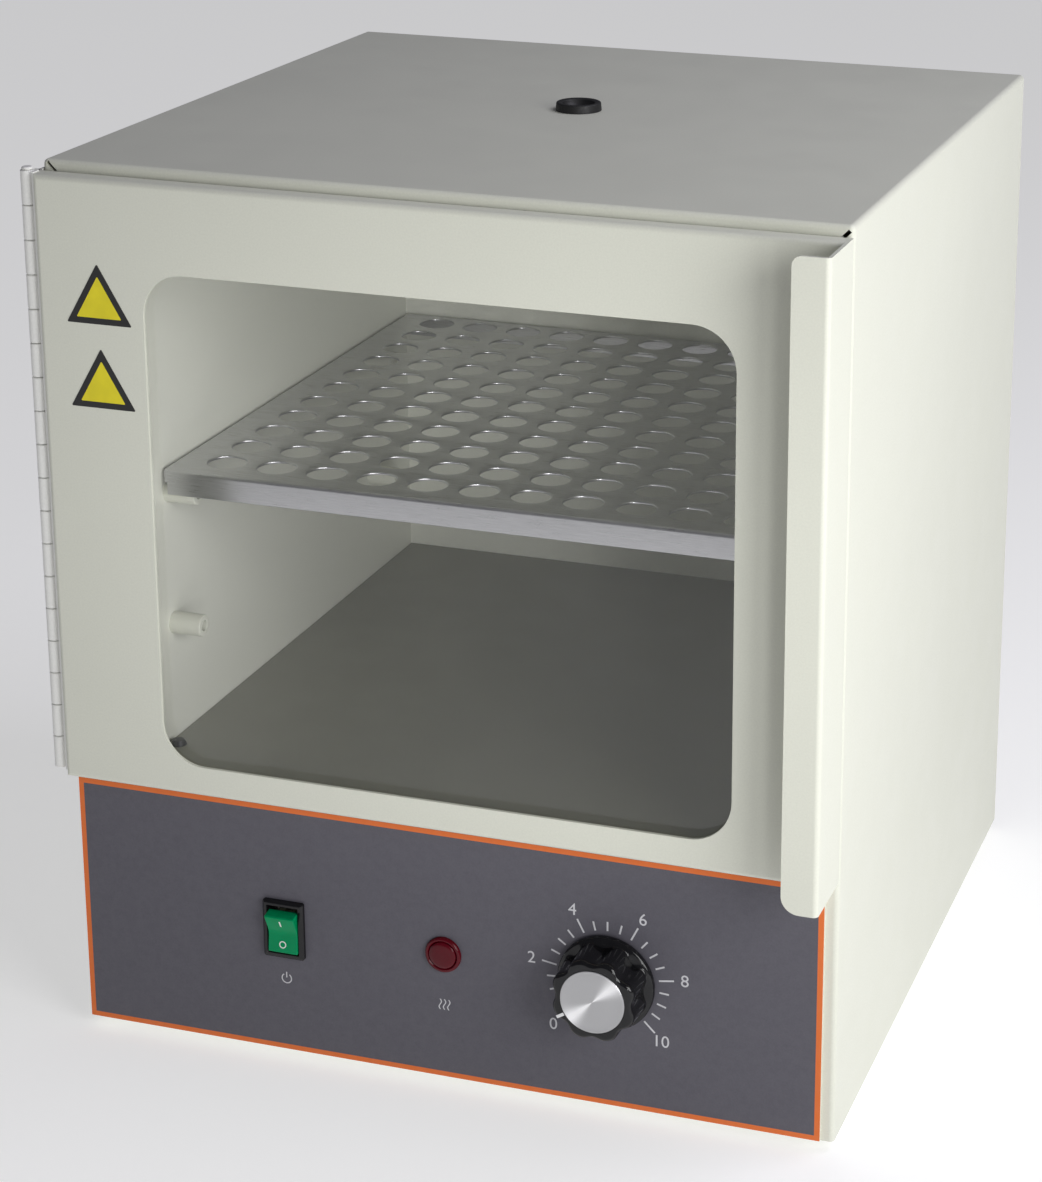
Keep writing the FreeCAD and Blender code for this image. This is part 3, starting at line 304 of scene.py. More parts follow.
FINISHES = {
    "cream_paint": lambda: powder_coat("cream_powder_coat", CREAM),
    "panel_steel": lambda: powder_coat("panel_powder_coat", CREAM),
    "floor_paint": lambda: powder_coat("floor_olive_paint", OLIVE, 1100.0, 0.00008),
    "overlay_film": printed_film,
    "stainless": lambda: brushed_steel("brushed_stainless", (0.56, 0.56, 0.57), (22, 1, 1), (0.26, 0.36),
                                       2600.0),
    "zinc_steel": lambda: brushed_steel("zinc_plate", (0.60, 0.60, 0.56), (1, 1, 1), (0.3, 0.5), 500.0),
    "black_steel": lambda: moulded_plastic("black_oxide", (0.012, 0.012, 0.013), 0.4),
    "clear_acrylic": lambda: clear_acrylic("clear_acrylic"),
    "black_rubber": lambda: moulded_plastic("black_rubber", (0.012, 0.012, 0.012), 0.55, 900.0, 0.00008),
    "silicone": lambda: moulded_plastic("silicone_seal", (0.62, 0.61, 0.56), 0.6, 700.0, 0.00005),
    "black_plastic": lambda: moulded_plastic("gloss_black", (0.006, 0.006, 0.007), 0.13, 2400.0, 0.000008,
                                             Specular_IOR_Level=0.4),
    "grey_plastic": lambda: moulded_plastic("grey_moulding", (0.16, 0.16, 0.155), 0.5),
    "spun_aluminium": lambda: spun_metal("spun_aluminium", tuple(middle("knob_cap")), (0.62, 0.62, 0.63)),
    "shaft_steel": lambda: brushed_steel("turned_steel", (0.55, 0.55, 0.53), (1, 8, 1)),
    "green_lens": lambda: moulded_plastic("green_rocker", (0.0, 0.27, 0.10), 0.14, Specular_IOR_Level=0.12,
                                          Subsurface_Weight=0.25, Subsurface_Scale=0.004),
    "red_lens": lambda: moulded_plastic("red_lens", (0.09, 0.001, 0.006), 0.16, Specular_IOR_Level=0.25),
    "lamp_glass": lambda: moulded_plastic("bulb_glass", (0.6, 0.45, 0.35), 0.12),
    "brass_pins": lambda: brushed_steel("nickel_pins", (0.66, 0.6, 0.45), (1, 6, 1)),
    "yellow_film": lambda: moulded_plastic("yellow_film", SIGN_YELLOW, 0.35),
    "glass_wool": lambda: mineral_wool("glass_wool", (0.75, 0.66, 0.36)),
    "silicone_mat": lambda: moulded_plastic("heater_mat", (0.3, 0.07, 0.03), 0.6, 500.0, 0.0001),
    "brown_wire": lambda: moulded_plastic("brown_sleeve", (0.16, 0.06, 0.025), 0.4),
    "blue_wire": lambda: moulded_plastic("blue_sleeve", (0.02, 0.07, 0.35), 0.4),
    "green_wire": lambda: moulded_plastic("green_sleeve", (0.08, 0.3, 0.04), 0.4),
    "red_wire": lambda: moulded_plastic("red_sleeve", (0.4, 0.03, 0.02), 0.4),
    "copper": lambda: brushed_steel("copper_tube", (0.85, 0.5, 0.36), (1, 5, 1)),
}


def dress_frame():
    """Give every frame node the finish of its material slot, and the chamber liner a lighter copy of the cream
    paint as painted light.
    """
    for part in frame["record"]["subparts"]:
        mesh = NODES[part["node"]].data
        mesh.materials.clear()
        mesh.materials.append(finish_for(part["material_slot"]))
    liner = NODES["chamber_liner"].data
    liner.materials.clear()
    # The liner's lighter cream is painted light inside the chamber.
    liner.materials.append(powder_coat("liner_coat_painted_lighter", LINER_CREAM_PAINTED_LIGHTER))


# ---------------------------------------------------------------- surfaces


def grid_faces(rows, columns):
    """Quads between neighbouring rows of a grid of points whose columns close into a ring, as one array."""
    across = np.arange(columns)
    down = np.arange(rows - 1)[:, None]
    nxt = (across + 1) % columns
    quads = np.stack([down * columns + across, down * columns + nxt,
                      (down + 1) * columns + nxt, (down + 1) * columns + across], axis=-1)
    return quads.reshape(-1, 4)


def lathe(profile, steps=64):
    """Turn a profile of (radius, height) rows about Z: x = r cos t, y = r sin t, z = h."""
    profile = np.array(profile, float)
    turn = np.linspace(0, 2 * pi, steps, endpoint=False)
    radius, height = profile[:, :1], profile[:, 1:]
    points = np.stack([radius * np.cos(turn), radius * np.sin(turn), height + 0 * turn], axis=-1)
    return points.reshape(-1, 3), grid_faces(len(profile), steps)


def carried_faces(count):
    """Faces of an outline of count points carried from one place to another: sides and both flat ends."""
    ends = [tuple(range(count))[::-1], tuple(range(count, 2 * count))]
    return [tuple(quad) for quad in grid_faces(2, count)] + ends


def prism(outline, low, high):
    """Straight prism: a closed outline of (x, y) rows copied at two heights, with flat ends."""
    outline = np.array(outline, float)
    count = len(outline)
    points = np.concatenate([np.c_[outline, np.full(count, low)], np.c_[outline, np.full(count, high)]])
    return points, carried_faces(count)


def rounded_outline(points, radius, steps=6):
    """Polygon whose corners are arcs tangent to both sides, steps + 1 points to an arc."""
    points = np.array(points, float)
    radius = np.broadcast_to(np.array(radius, float), (len(points),))
    rows = []
    for number, corner in enumerate(points):
        back = points[number - 1] - corner
        ahead = points[(number + 1) % len(points)] - corner
        back = back / np.linalg.norm(back)
        ahead = ahead / np.linalg.norm(ahead)
        half = np.arccos(np.clip(back @ ahead, -1, 1)) / 2
        reach = radius[number] / np.tan(half)
        centre = corner + (back + ahead) / np.linalg.norm(back + ahead) * radius[number] / np.sin(half)
        start = corner + back * reach - centre
        finish = corner + ahead * reach - centre
        sweep = np.arctan2(start[0] * finish[1] - start[1] * finish[0], start @ finish)
        angle = np.linspace(0, sweep, steps + 1)
        rows.append(centre + np.outer(np.cos(angle), start) + np.outer(np.sin(angle), (-start[1], start[0])))
    return np.concatenate(rows)


def rectangle(wide, tall, centre=(0, 0)):
    """Corners of an upright rectangle, anticlockwise."""
    return np.array(centre) + np.array([(-1, -1), (1, -1), (1, 1), (-1, 1)]) * (wide / 2, tall / 2)


def aimed(shape, axis, centre=(0, 0, 0)):
    """Turn a shape built along +Z so that it points along an axis, and move it to a centre."""
    points, faces = shape
    x, y, z = points.T
    turned = {"z": (x, y, z), "front": (x, -z, y), "back": (-x, z, y), "right": (z, x, y),
              "left": (-z, -x, y)}[axis]
    return np.stack(turned, axis=-1) + np.array(centre), faces


def together(shapes):
    """Join several shapes into one list of points and faces."""
    points, faces, start = [], [], 0
    for vertices, quads in shapes:
        points.append(vertices)
        faces.extend(tuple(int(index) + start for index in face) for face in quads)
        start += len(vertices)
    return np.concatenate(points), faces


def make_piece(name, shape, body, slot, replaced=(), material=None, bevel=0.0, crease=38):
    """Put a shape into a mesh object with seams and poles closed, parent it to its body and hide what it replaces.

    The piece has the finish of its slot unless it is given another material.
    """
    points, faces = shape
    mesh = bpy.data.meshes.new(name)
    mesh.from_pydata(np.asarray(points).tolist(), [], [tuple(map(int, face)) for face in faces])
    shell = bmesh.new()
    shell.from_mesh(mesh)
    bmesh.ops.remove_doubles(shell, verts=shell.verts, dist=1e-7)
    bmesh.ops.dissolve_degenerate(shell, edges=shell.edges, dist=1e-8)
    bmesh.ops.recalc_face_normals(shell, faces=shell.faces)
    shell.to_mesh(mesh)
    shell.free()
    mesh.polygons.foreach_set("use_smooth", np.ones(len(mesh.polygons), bool))
    mesh.set_sharp_from_angle(angle=radians(crease))
    mesh.materials.append(material or finish_for(slot))
    piece = bpy.data.objects.new(name, mesh)
    bpy.context.scene.collection.objects.link(piece)
    if bevel:
        edge = piece.modifiers.new("edge", "BEVEL")
        edge.width = bevel
        edge.segments = 3
        edge.limit_method = "ANGLE"
        edge.angle_limit = radians(40)
        edge.harden_normals = True
    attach(piece, body)
    if replaced:
        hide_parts(*replaced)


def lettering(text, size):
    """Outline of a short number as flat points and faces, centred on zero."""
    curve = bpy.data.curves.new("number", "FONT")
    curve.body = text
    curve.size = size
    curve.align_x = "CENTER"
    curve.align_y = "CENTER"
    curve.extrude = 0.03 * MM
    carrier = bpy.data.objects.new("number", curve)
    bpy.context.scene.collection.objects.link(carrier)
    bpy.context.view_layer.update()
    mesh = bpy.data.meshes.new_from_object(carrier.evaluated_get(bpy.context.evaluated_depsgraph_get()))
    points = np.empty(len(mesh.vertices) * 3)
    mesh.vertices.foreach_get("co", points)
    faces = [tuple(face.vertices) for face in mesh.polygons]
    bpy.data.objects.remove(carrier)
    bpy.data.curves.remove(curve)
    bpy.data.meshes.remove(mesh)
    points = points.reshape(-1, 3)
    points[:, :2] -= (points[:, :2].max(axis=0) + points[:, :2].min(axis=0)) / 2
    return points, faces


# ---------------------------------------------------------------- settings


class IncubatorSizes(bpy.types.PropertyGroup):
    """Sizes of the finished pieces that the frame doesn't fix."""

    flutes: IntProperty(name="Knob flutes", description="Number of flutes round the knob", default=8, min=3)
    flute_depth: FloatProperty(name="Flute depth", description="Depth of a knob flute", default=1.7 * MM,
                               subtype="DISTANCE", unit="LENGTH")
    border: FloatProperty(name="Film border", description="Width of the coloured border of the panel film",
                          default=1.9 * MM, subtype="DISTANCE", unit="LENGTH")
    tick_start: FloatProperty(name="Tick start", description="Radius at which the dial's ticks begin",
                              default=18.6 * MM, subtype="DISTANCE", unit="LENGTH")
    tick_long: FloatProperty(name="Long tick", description="Length of a numbered tick", default=5.4 * MM,
                             subtype="DISTANCE", unit="LENGTH")
    tick_short: FloatProperty(name="Short tick", description="Length of an unnumbered tick", default=3.4 * MM,
                              subtype="DISTANCE", unit="LENGTH")
    number_radius: FloatProperty(name="Number radius", description="Radius of the ring of dial numbers",
                                 default=27.9 * MM, subtype="DISTANCE", unit="LENGTH")
    number_size: FloatProperty(name="Number size", description="Height of the dial numbers' font",
                               default=6.2 * MM, subtype="DISTANCE", unit="LENGTH")


class IncubatorLight(bpy.types.PropertyGroup):
    """Strength and tint of the studio light."""

    key: FloatProperty(name="Right light", description="Power of the large light on the right", default=5.0,
                       subtype="POWER", unit="POWER")
    fill: FloatProperty(name="Top light", description="Power of the light above and to the right",
                        default=4.2, subtype="POWER", unit="POWER")
    beam: FloatProperty(name="Chamber beam", description="Power of the narrow beam through the window",
                        default=11.5, subtype="POWER", unit="POWER")
    sky: FloatProperty(name="Surroundings", description="Strength of the even surrounding light",
                       default=0.13, min=0)
    tint: FloatVectorProperty(name="Top light tint", description="Colour of the top and surrounding light",
                              default=(0.9, 0.89, 1.0), subtype="COLOR", min=0, max=1)


def sizes():
    """The sizes of the finished pieces, as they stand in the sidebar."""
    return bpy.context.scene.incubator_sizes


# ---------------------------------------------------------------- operators


class INCUBATOR_OT_finishes(bpy.types.Operator):
    """Give every frame node the finish of its material slot"""

    bl_idname = "incubator.finishes"
    bl_label = "Finishes"

    def execute(self, context):
        dress_frame()
        return {"FINISHED"}


class INCUBATOR_OT_film(bpy.types.Operator):
    """Print the panel film's dial ticks and numbers and its plain symbols"""

    bl_idname = "incubator.film"
    bl_label = "Panel film"

    def execute(self, context):
        ink = moulded_plastic("white_ink", INK, 0.6)
        face = corners("panel_overlay")[0][1]
        self.make_scale(ink, face)
        self.make_symbols(ink, face)
        return {"FINISHED"}

    @staticmethod
    def make_scale(ink, face):
        """Dial: 21 ticks over 270 degrees, every fourth one longer and numbered, 0 to 10."""
        size = sizes()
        dial = middle("knob")
        shapes = []
        for step in range(21):
            angle = radians(-135 + 13.5 * step)
            major = step % 4 == 0
            long = size.tick_long if major else size.tick_short
            tick = rectangle(0.62 * MM, long, (0, size.tick_start + long / 2))
            turned = np.stack([tick[:, 0] * cos(angle) + tick[:, 1] * sin(angle),
                               tick[:, 1] * cos(angle) - tick[:, 0] * sin(angle)], axis=-1)
            shapes.append(aimed(prism(turned, 0, PRINT), "front", (dial[0], face, dial[2])))
            if major:
                across, up = size.number_radius * sin(angle), size.number_radius * cos(angle)
                place = (dial[0] + across, face - 0.03 * MM, dial[2] + up)
                shapes.append(aimed(lettering(str(step // 2), size.number_size), "front", place))
        make_piece("dial_scale", together(shapes), "cabinet", "overlay_film", material=ink)

    @staticmethod
    def make_symbols(ink, face):
        """Plain symbols: a broken ring with a bar under the switch, three waves under the lamp."""
        switch = middle("switch_housing")
        lamp = middle("lamp_body")
        height = switch[2] - 19.5 * MM
        angle = np.linspace(radians(125), radians(415), 40)
        arc = np.stack([np.cos(angle), np.sin(angle)], axis=-1)
        ring = np.concatenate([arc * 2.0 * MM, arc[::-1] * 1.6 * MM])
        bar = rectangle(0.4 * MM, 2.2 * MM, (0, 1.4 * MM))
        shapes = [aimed(prism(mark, 0, PRINT), "front", (switch[0], face, height)) for mark in (ring, bar)]
        rise = np.linspace(-2 * MM, 2 * MM, 24)
        sway = 0.45 * MM * np.sin(rise / (4 * MM) * 2 * pi)
        for offset in (-1.6 * MM, 0, 1.6 * MM):
            left = np.stack([sway + offset - 0.2 * MM, rise], axis=-1)
            right = np.stack([sway + offset + 0.2 * MM, rise], axis=-1)[::-1]
            wave = prism(np.concatenate([right, left]), 0, PRINT)
            shapes.append(aimed(wave, "front", (lamp[0], face, height)))
        make_piece("panel_symbols", together(shapes), "cabinet", "overlay_film", material=ink)


class INCUBATOR_OT_knob(bpy.types.Operator):
    """Make the fluted knob, its turned metal cap and its pointer"""

    bl_idname = "incubator.knob"
    bl_label = "Knob"

    def execute(self, context):
        low, high = corners("knob")
        cap_low, cap_high = corners("knob_cap")
        seat = (cap_high[0] - cap_low[0]) / 2 + 0.1 * MM
        self.make_grip(low, high, seat)
        self.make_cap(cap_low, cap_high)
        self.make_pointer(low, high, seat)
        return {"FINISHED"}

    @staticmethod
    def make_grip(low, high, seat):
        """Grip: a turned section whose radius loses r = d exp(-(t / w)^2.4) at each flute.

        A row of the section is radius, height and how much of a flute's depth it takes, from 0 to 1.
        """
        place = ((low[0] + high[0]) / 2, high[1], (low[2] + high[2]) / 2)
        skirt = (high[0] - low[0]) / 2 / MM
        front = (high[1] - low[1]) / MM
        seat = seat / MM
        back = [(0, 11.2, 0), (3.02, 11.2, 0), (3.02, 2.6, 0), (8.6, 2.6, 0), (8.6, 0, 0)]
        rim = [(skirt - 0.4, 0, 0), (skirt, 0.4, 0), (skirt, 1.8, 0), (skirt - 0.35, 2.3, 0),
               (skirt - 0.8, 2.5, 0), (skirt - 1.3, 2.8, 0.6)]
        grip = [(skirt - 1.5 - 0.5 * step / 8, 3.1 + (front - 4.4) * step / 8, 1) for step in range(9)]
        lip = [(skirt - 2.3, front - 0.8, 0.97), (skirt - 2.75, front - 0.25, 0.9),
               (skirt - 3.5, front, 0.75), (seat + 0.8, front, 0.1), (seat, front, 0),
               (seat, front - 0.6, 0), (0, front - 0.6, 0)]
        rows = np.array(back + rim + grip + lip)
        turn = np.linspace(0, 2 * pi, 256, endpoint=False)
        pitch = 2 * pi / sizes().flutes
        offset = np.abs((turn + pitch / 2) % pitch - pitch / 2)
        flute = np.exp(-(offset / (0.26 * pitch)) ** 2.4) * sizes().flute_depth
        radius = rows[:, :1] * MM - rows[:, 2:] * flute
        height = rows[:, 1:2] * MM + 0 * turn
        points = np.stack([radius * np.cos(turn), radius * np.sin(turn), height], axis=-1)
        shape = aimed((points.reshape(-1, 3), grid_faces(len(rows), len(turn))), "front", place)
        make_piece("knob_grip", shape, "knob", "black_plastic", ["knob"], crease=50)

    @staticmethod
    def make_pointer(low, high, seat):
        """Pointer: a white bar laid from the cap's seat out towards the skirt."""
        angle = radians(POINTER_REST)
        ray = np.array([sin(angle), cos(angle)])
        half = np.array([ray[1], -ray[0]]) * 0.55 * MM
        near = ray * (seat + 0.25 * MM)
        far = ray * ((high[0] - low[0]) / 2 - 2.5 * MM)
        outline = [near - half, near + half, far + half, far - half]
        place = ((low[0] + high[0]) / 2, low[1], (low[2] + high[2]) / 2)
        make_piece("knob_pointer", aimed(prism(outline, -0.2 * MM, 0.08 * MM), "front", place), "knob",
                   "black_plastic", material=moulded_plastic("white_pointer", (0.8, 0.8, 0.8), 0.4),
                   bevel=0.03 * MM)

    @staticmethod
    def make_cap(low, high):
        """Cap: a disc with a rolled edge and a shallow dish turned into its face."""
        radius = (high[0] - low[0]) / 2 / MM
        tall = (high[1] - low[1]) / MM
        profile = [(0, 0), (radius - 0.1, 0), (radius, 0.15), (radius, tall - 0.3),
                   (radius - 0.15, tall - 0.08), (radius - 0.45, tall), (radius - 0.9, tall - 0.02),
                   (radius - 1.1, tall - 0.1), (radius * 0.6, tall - 0.12), (0, tall - 0.14)]
        place = ((low[0] + high[0]) / 2, high[1], (low[2] + high[2]) / 2)
        make_piece("knob_cap_face", aimed(lathe(np.array(profile) * MM, 128), "front", place), "knob",
                   "spun_aluminium", ["knob_cap"])


class INCUBATOR_OT_lamp(bpy.types.Operator):
    """Make the indicator lamp: a stepped rim and a domed lens"""

    bl_idname = "incubator.lamp"
    bl_label = "Indicator lamp"

    def execute(self, context):
        centre = middle("lamp_body")
        face = corners("panel_overlay")[0][1]
        place = (centre[0], face, centre[2])
        rim = [(5.0, -12), (5.6, -12), (5.6, 0), (6.6, 0), (6.6, 0.7), (6.4, 1.15), (6.0, 1.4), (5.55, 1.4),
               (5.3, 1.2), (5.05, 0.8), (5.0, 0.3), (5.0, -12)]
        make_piece("lamp_bezel", aimed(lathe(np.array(rim) * MM, 96), "front", place), "cabinet",
                   "red_lens", ["lamp_body"])
        angle = np.linspace(0, pi / 2, 9)
        dome = np.stack([4.95 * np.sin(angle), 1.25 + 0.9 * np.cos(angle)], axis=-1)
        lens = np.concatenate([dome, [(4.95, -2.2), (0, -2.2)]])
        make_piece("lamp_dome", aimed(lathe(lens * MM, 96), "front", place), "cabinet", "red_lens",
                   ["lamp_lens"])
        return {"FINISHED"}


class INCUBATOR_OT_switch(bpy.types.Operator):
    """Make the rocker switch: a bevelled bezel and a bent rocker with its two marks"""

    bl_idname = "incubator.switch"
    bl_label = "Rocker switch"

    def execute(self, context):
        low, high = corners("switch_housing")
        centre = (low + high) / 2
        wide, tall = high[0] - low[0], high[2] - low[2]
        face = corners("panel_overlay")[0][1]
        proud = face - low[1]
        outer = rounded_outline(rectangle(wide, tall), 0.8 * MM)
        step = rounded_outline(rectangle(wide - 1.2 * MM, tall - 1.2 * MM), 0.5 * MM)
        well = rounded_outline(rectangle(11.8 * MM, 18 * MM), 0.3 * MM)
        loops = [(outer, 0), (outer, proud - 0.7 * MM), (step, proud - 0.1 * MM), (step * 0.985, proud),
                 (well * 1.02, proud), (well, proud - 0.2 * MM), (well, -7.5 * MM), (well * 0.98, -7.5 * MM),
                 (well * 1.045, -7.5 * MM), (well * 1.045, 0), (outer, 0)]
        points = np.concatenate([np.c_[loop, np.full(len(loop), height)] for loop, height in loops])
        shape = aimed((points, grid_faces(len(loops), len(outer))), "front", (centre[0], face, centre[2]))
        make_piece("switch_bezel", shape, "cabinet", "black_plastic", ["switch_housing"])
        self.make_rocker()
        return {"FINISHED"}

    @staticmethod
    def make_rocker():
        """Rocker: a shallow V carried across X; both marks lie on its two slanted faces."""
        low, high = corners("rocker")
        centre_x = (low[0] + high[0]) / 2
        pivot = Vector(next(joint for joint in frame["joints"] if joint["name"] == "rocker_tilt")["pos_m"])
        tilt = radians(10)
        outline = np.array([(-6.6, 7.6), (-4.4, 0), (-6.6, -7.6), (-2.0, -7.6), (-2.0, 7.6)]) * MM
        outline = rounded_outline(outline, np.array([0.5, 6.0, 0.5, 0.3, 0.3]) * MM, 5)

        def tilted(depth, height):
            return depth * cos(tilt) - height * sin(tilt), depth * sin(tilt) + height * cos(tilt)

        depth, height = tilted(outline[:, 0], outline[:, 1])
        count = len(outline)
        half = 5.55 * MM
        points = np.concatenate([np.c_[np.full(count, side * half), depth, height] for side in (-1, 1)])
        points = points + np.array((centre_x, pivot.y, pivot.z))
        make_piece("rocker_key", (points, carried_faces(count)), "rocker", "green_lens", ["rocker"],
                   bevel=0.3 * MM)
        slope = np.arctan2(2.2, 7.6)
        marks = []
        ring = lathe(np.array([(1.35, 0), (1.35, 0.05), (0.95, 0.05), (0.95, 0), (1.35, 0)]) * MM, 32)
        bar = prism(rectangle(0.5 * MM, 2.8 * MM), 0, 0.05 * MM)
        for side, shape in ((1, bar), (-1, ring)):
            flat, quads = shape
            along = 4.6 * MM + side * flat[:, 1]
            out = flat[:, 2] + 0.02 * MM
            local_depth = -4.4 * MM - along * np.sin(slope) - out * np.cos(slope)
            local_height = side * (along * np.cos(slope) - out * np.sin(slope))
            depth, height = tilted(local_depth, local_height)
            marks.append((np.c_[flat[:, 0] + centre_x, depth + pivot.y, height + pivot.z], quads))
        make_piece("rocker_marks", together(marks), "rocker", "green_lens",
                   material=moulded_plastic("rocker_ink", (0.8, 0.85, 0.8), 0.5))


class INCUBATOR_OT_stickers(bpy.types.Operator):
    """Make the two plain triangular stickers with a dark edge"""

    bl_idname = "incubator.stickers"
    bl_label = "Stickers"

    def execute(self, context):
        low, high = corners("door_stickers")
        face = high[1]
        side = high[0] - low[0]
        tall = side * sin(pi / 3)
        centre_x = (low[0] + high[0]) / 2
        bases = (low[2], high[2] - tall)
        dark = moulded_plastic("sticker_edge", (0.012, 0.012, 0.012), 0.38)
        layers = (("sticker_backs", 0.0, 0.35 * MM, 0.1 * MM, dark),
                  ("sticker_faces", 2.15 * MM, 0.25 * MM, 0.13 * MM, None))
        for name, inset, corner, proud, material in layers:
            points = np.array([(-side / 2, 0), (side / 2, 0), (0, tall)])
            centre = points.mean(axis=0)
            scale = 1 - inset / (tall / 3)
            outline = rounded_outline(centre + (points - centre) * scale, corner, 8)
            shapes = [aimed(prism(outline, 0, proud), "front", (centre_x, face, base)) for base in bases]
            make_piece(name, together(shapes), "door", "yellow_film", ["door_stickers"] if inset else (),
                       material)
        return {"FINISHED"}


class INCUBATOR_OT_grommet(bpy.types.Operator):
    """Make the rubber grommet of the thermometer port as a turned ring"""

    bl_idname = "incubator.grommet"
    bl_label = "Port grommet"

    def execute(self, context):
        centre = middle("port_grommet")
        top = corners("outer_wrap")[1][2]
        angle = np.linspace(0, pi / 2, 7)
        shoulder = np.stack([7.6 + 0.6 * np.cos(angle), 2.5 + 0.6 * np.sin(angle)], axis=-1)
        throat = np.stack([6.5 - 0.6 * np.sin(angle), 2.3 + 0.6 * np.cos(angle)], axis=-1)
        groove = [(8.4, -4.2), (8.4, -1.3), (6.4, -1.3), (6.4, 0.1), (8.4, 0.1), (8.35, 0.9)]
        bore = [(5.0, 0.9), (4.5, 0.6), (4.5, -4.2), (8.4, -4.2)]
        profile = np.concatenate([groove, shoulder, [(7.0, 3.15)], throat, bore])
        make_piece("grommet_ring", aimed(lathe(profile * MM, 96), "z", (centre[0], centre[1], top)),
                   "cabinet", "black_rubber", ["port_grommet"], crease=60)
        return {"FINISHED"}


class INCUBATOR_OT_shelf(bpy.types.Operator):
    """Make the perforated shelf: a plate with rounded holes and four folded lips, open at the corners"""

    bl_idname = "incubator.shelf"
    bl_label = "Shelf"

    def execute(self, context):
        low, high = corners("shelf")
        top = high[2]
        sheet = 1.0 * MM
        fold = 1.4 * MM
        pitch = 19 * MM
        count = 11
        first_row = low[1] + 15 * MM
        inner = (low[:2] + fold, high[:2] - fold)
        centre = np.array(((low[0] + high[0]) / 2, first_row + pitch * (count - 1) / 2))
        shapes = [self.cells(centre, pitch, count, top, sheet)]
        for height in (top, top - sheet):
            shapes.append(self.margin(centre, pitch, count, inner, height))
        plate = np.array([(inner[0][0], inner[0][1]), (inner[1][0], inner[0][1]), (inner[1][0], inner[1][1]),
                          (inner[0][0], inner[1][1])])
        rim = np.concatenate([np.c_[plate, np.full(4, height)] for height in (top, top - sheet)])
        shapes.append((rim, grid_faces(2, 4)))
        shapes += self.lips(low, high, fold, sheet)
        make_piece("shelf_plate", together(shapes), "shelf", "stainless", ["shelf"], crease=40)
        return {"FINISHED"}

    @staticmethod
    def cells(centre, pitch, count, top, sheet):
        """Square cells, each from its edge in to a hole whose two rims are rounded."""
        sides = 32
        turn = np.arange(sides) * 2 * pi / sides
        ray = np.stack([np.cos(turn), np.sin(turn)], axis=-1)
        square = ray / np.abs(ray).max(axis=1, keepdims=True) * pitch / 2
        rings = [(None, 0), (7.4, 0), (7.15, 0.08), (7.0, 0.3), (7.0, 0.75), (7.12, 0.95), (7.25, 1.0),
                 (None, 1.0)]
        rows = [np.c_[square if size is None else ray * size * MM, np.full(sides, top - drop * sheet)]
                for size, drop in rings]
        cell = np.concatenate(rows)
        faces = grid_faces(len(rings), sides)
        steps = (np.arange(count) - (count - 1) / 2) * pitch
        places = np.stack(np.meshgrid(steps, steps), axis=-1).reshape(-1, 2) + centre
        points = cell[None] + np.c_[places, np.zeros(len(places))][:, None]
        quads = faces[None] + (np.arange(len(places)) * len(cell))[:, None, None]
        return points.reshape(-1, 3), [tuple(quad) for quad in quads.reshape(-1, 4)]

    @staticmethod
    def margin(centre, pitch, count, inner, height):
        """Flat frame between the block of cells and the folds."""
        near, far = centre - pitch * count / 2, centre + pitch * count / 2
        tangents = np.tan(np.arange(-4, 4) * pi / 16) / 2 + 0.5
        steps = (np.arange(count)[:, None] + tangents).reshape(-1) / count
        sides = []
        for box in ((near, far), inner):
            (x0, y0), (x1, y1) = box
            start = np.array([(x0, y0), (x1, y0), (x1, y1), (x0, y1)])
            leap = np.roll(start, -1, axis=0) - start
            loop = (start[:, None] + leap[:, None] * steps[None, :, None]).reshape(-1, 2)
            sides.append(np.c_[loop, np.full(len(loop), height)])
        return np.concatenate(sides), grid_faces(2, len(sides[0]))

    @staticmethod
    def lips(low, high, fold, sheet):
        """Four folded lips, each a bent strip carried along its side and open at both corners."""
        turn = np.linspace(0, pi / 2, 7)
        ray = np.stack([-np.sin(turn), np.cos(turn)], axis=-1)
        outer = np.array((fold, -fold)) + ray * fold
        inner = np.array((fold, -fold)) + ray * (fold - sheet)
        edge = 0.15 * MM
        gap = 2.2 * MM
        side_lip = 5.4 * MM
        strips = []
        for side in range(4):
            along_x = side % 2 == 0
            deep = high[2] - low[2] if along_x else side_lip
            tip = np.array([(0, -deep + edge), (edge, -deep), (sheet - edge, -deep), (sheet, -deep + edge)])
            section = np.concatenate([outer, tip, inner[::-1]])
            start, finish = (low[0], high[0]) if along_x else (low[1], high[1])
            base = low if side in (0, 3) else high
            sign = 1 if side in (0, 3) else -1
            ends = np.array([start + gap, finish - gap])
            offset = (base[1] if along_x else base[0]) + sign * section[:, 0]
            heights = high[2] + section[:, 1]
            rows = [np.stack([np.full(len(section), end), offset, heights], axis=-1) for end in ends]
            points = np.concatenate(rows)
            if not along_x:
                points = points[:, [1, 0, 2]]
            strips.append((points, carried_faces(len(section))))
        return strips


class INCUBATOR_OT_pegs(bpy.types.Operator):
    """Make the hollow shelf pegs with a rounded lip"""

    bl_idname = "incubator.pegs"
    bl_label = "Shelf pegs"

    def execute(self, context):
        low, high = corners("shelf_pegs")
        radius = 4 * MM
        heights = (low[2] + radius, high[2] - radius)
        depths = (low[1] + radius, high[1] - radius)
        angle = np.linspace(0, pi / 2, 5)
        lip = np.stack([3.5 + 0.5 * np.cos(angle), 11.5 + 0.5 * np.sin(angle)], axis=-1)
        profile = np.concatenate([[(0, 0), (4.0, 0)], lip, [(2.1, 12), (1.9, 11.8), (1.9, 3), (0, 3)]]) * MM
        shapes = [aimed(lathe(profile, 40), axis, (wall, depth, height))
                  for axis, wall in (("right", low[0]), ("left", high[0]))
                  for depth in depths for height in heights]
        make_piece("peg_set", together(shapes), "cabinet", "cream_paint", ["shelf_pegs"])
        return {"FINISHED"}


